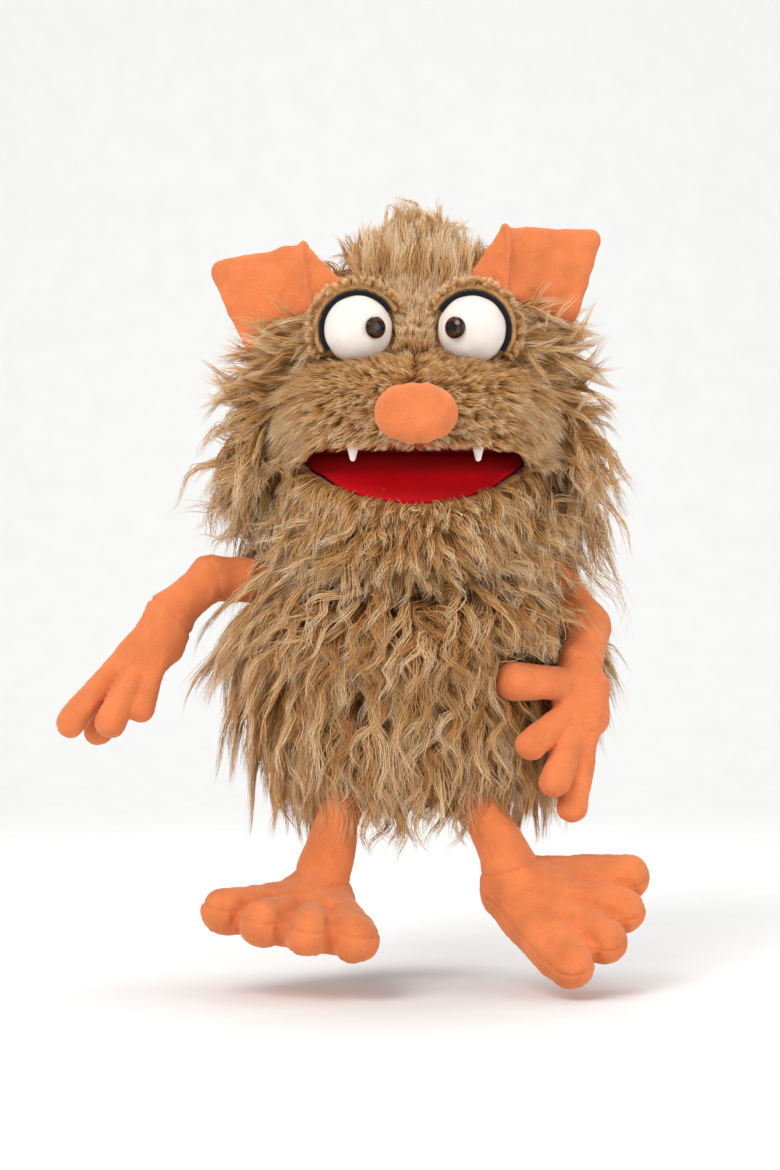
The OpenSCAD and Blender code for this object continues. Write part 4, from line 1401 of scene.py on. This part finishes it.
    Growth(
        "fur_crown", "head", "head_fur", (0, 0, 205), 150, 14, 73,
        keep=lambda c, n: (np.abs(c[:, 0]) < 27 * MM) & (c[:, 2] > 252 * MM) & (c[:, 1] < 12 * MM),
        flow=crown_flow,
        length=lambda p, r: (12 + (296 * MM - p[:, 2]) / MM * 0.8) * r.uniform(0.7, 1.1, len(p)),
        height=rising(3, 7), lift=(0.3, 0.8), droop=(-0.6, -0.2),
        wave=1.5, wavelength=26, spread=3.4, clump=0.85, swing=(0.25, 40), tone=0.72, width=0.5,
        drop=lambda s: over_eyes(s) | over_ears(s),
    ).grow(head_tree, HEAD_FUR)

    Growth(
        "fur_crown_back", "head", "crown_tuft", (0, 0, 275), 130, 12, 83,
        flow=crown_flow, length=about(15, 0.6, 1.1),
        height=rising(1, 3), lift=(0.3, 0.8), droop=(-0.3, 0.0),
        wave=1.0, wavelength=24, spread=3.2, clump=0.85, swing=(0.25, 36), steps=4, tone=0.62, width=0.5,
        drop=lambda s: over_eyes(s) | over_ears(s),
    ).grow(head_tree, HEAD_FUR)

    def muzzle_flow(points, normals):
        x, y, z = in_millimetres(points)
        strength = 0.4 + 0.6 * smooth_step(np.abs(x) / 30)
        side = np.sign(x)[:, None] * np.array([1.0, 0, 0]) * strength[:, None]
        high = smooth_step((z - 200) / 18)[:, None]
        return side - UP * 0.5 * (1 - high) + UP * 0.35 * high

    def muzzle_length(points, rng):
        x, y, z = in_millimetres(points)
        return (8 + 16 * smooth_step((np.abs(x) - 34) / 30)) * rng.uniform(0.7, 1.15, len(points))

    def under_nose(points):
        x, y, z = in_millimetres(points)
        return 0.38 * np.exp(-(((np.abs(x) - 16) / 20) ** 2) - ((z - 186) / 9) ** 2) - 0.22 * (z > 205)

    Growth(
        "fur_muzzle", "head", "muzzle_fur", (0, -40, 200), 2300, 11, 74,
        flow=muzzle_flow, length=muzzle_length, height=rising(1, 4),
        lift=(0.4, 0.9), droop=(0.0, 0.15), wave=0.7, wavelength=16, spread=2.2, clump=0.3,
        swing=(0.2, 24), steps=3, stray=0.14, width=0.41, tone=0.56, pale=under_nose,
        drop=lambda s: over_eyes(s) | over_nose(s) | over_mouth_from_above(s),
    ).grow(head_tree, SHORT_FUR)

    def jaw_flow(points, normals):
        x, y, z = in_millimetres(points)
        outward = np.sign(x)[:, None] * np.array([1.0, 0, 0])
        return -UP + outward * 0.95 * smooth_step(np.abs(x) / 42)[:, None] - np.array([0, 0.25, 0])

    def jaw_length(points, rng):
        up, forward = jaw_height(points)
        x = np.abs(points[:, 0]) / MM
        low = smooth_step((-up / MM - 5) / 18)
        sides = smooth_step((x - 12) / 34)
        return (10 + 11 * low + (12 + 24 * low) * sides) * rng.uniform(0.7, 1.15, len(points))

    def jaw_rise(points, rng):
        up, forward = jaw_height(points)
        low = smooth_step((-up / MM - 5) / 18)
        return 1 + (5 + 13 * low) * rng.random(len(points))

    Growth(
        "fur_jaw", "jaw", "jaw_fur", (0, -10, 175), 900, 13, 75,
        flow=jaw_flow, length=jaw_length, height=jaw_rise,
        lift=(0.4, 1.0), droop=(0.1, 0.45), wave=2.4, wavelength=28, spread=3.4, clump=0.74,
        swing=(0.6, 42), steps=6, stray=0.2, wild=0.08, width=0.51, tone=0.64, drop=over_mouth_from_below,
    ).grow(jaw_tree, HEAD_FUR)


# ---- Assembly ----

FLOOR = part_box("foot_sole_right")[0][2] - 4 * MM
set_stage()

VELOUR = velour("velour", hue("e17f4c"))
WHITE_FELT = felt("white_felt", hue("efe6de"), 0.93, 0.6)
RED_FELT = felt("red_felt", hue("e00a1c"), 0.75, sheen=0.03)
COTTON = woven("cotton", hue("8a6c46"))
LINING = woven("lining", hue("a98d62"), 0.5)
WADDING = felt("wadding", hue("efece4"), 0.85, 1.2)
BOARD = moulded("board", hue("8a6a45"), 0.75)
PIPING = woven("piping", hue("17161a"), 0.4)
WASHER = moulded("washer", hue("e4e2dc"), 0.45)
LONG_FUR = pile("long_fur", hue("7e4b1f"), hue("ab7034"), hue("cd9454"), hue("e5bf88"), hue("fae6c8"))
HEAD_FUR = pile("head_fur", hue("905c2a"), hue("b57f40"), hue("d29f62"), hue("e7c28e"), hue("fbe9d0"))
SHORT_FUR = pile("short_fur", hue("96602c"), hue("ba8543"), hue("d5a163"), hue("e6bf8c"), hue("fae8cc"))
NAP = nap("fur_nap", hue("ae7a42"))
LID = nap("eyelid_nap", hue("c4935c"), 0.8)

for name, node in nodes.items():
    look = None
    if "wadding" in name or "padding" in name or name == "head_foam":
        look = WADDING
    elif "board" in name:
        look = BOARD
    elif name.startswith("eye_piping"):
        look = PIPING
    elif name.startswith("pupil_washer"):
        look = WASHER
    elif name.startswith("pupil_"):
        look = pupil_look(name.split("_")[1])
    elif name.startswith("eyelid"):
        look = LID
    else:
        look = COTTON
    node.data.materials.clear()
    node.data.materials.append(look)

backing("body_backing", "body_fur", "body", NAP)
backing("head_backing", "head_fur", "head", NAP)
backing("muzzle_backing", "muzzle_fur", "head", NAP)
backing("crown_backing", "crown_tuft", "head", NAP)
for node, look in (("jaw_fur", NAP), ("mouth_board_lower", BOARD), ("jaw_padding", WADDING)):
    sag_lip(backing(node + "_bent", node, "jaw", look, 0.1))
slim_lid(backing("eyelid_roll_left", "eyelid_left", "head", LID, 0.3, 3), "left")
slim_lid(backing("eyelid_roll_right", "eyelid_right", "head", LID, 0.3, 3), "right")
backing("sleeve_lining", "body_lining", "body", LINING, 0.7, 14)
backing("hem_tape", "hem_band", "body", COTTON, 0.4, 9)
backing("neck_cloth", "neck_gusset", "neck", COTTON, 0.6, 8)
backing("finger_pocket_cloth", "finger_pocket", "head", COTTON, 0.5, 9)
backing("thumb_pocket_cloth", "thumb_pocket", "jaw", COTTON, 0.5, 9)

for side in SIDES:
    ear(side)
    eye(side)
    fang(side)
    arm(side)
    leg(side)
nose()
mouth_felt()
grow_coat([bpy.data.objects["arm_right_stuffed"], bpy.data.objects["hand_right_stuffed"]])
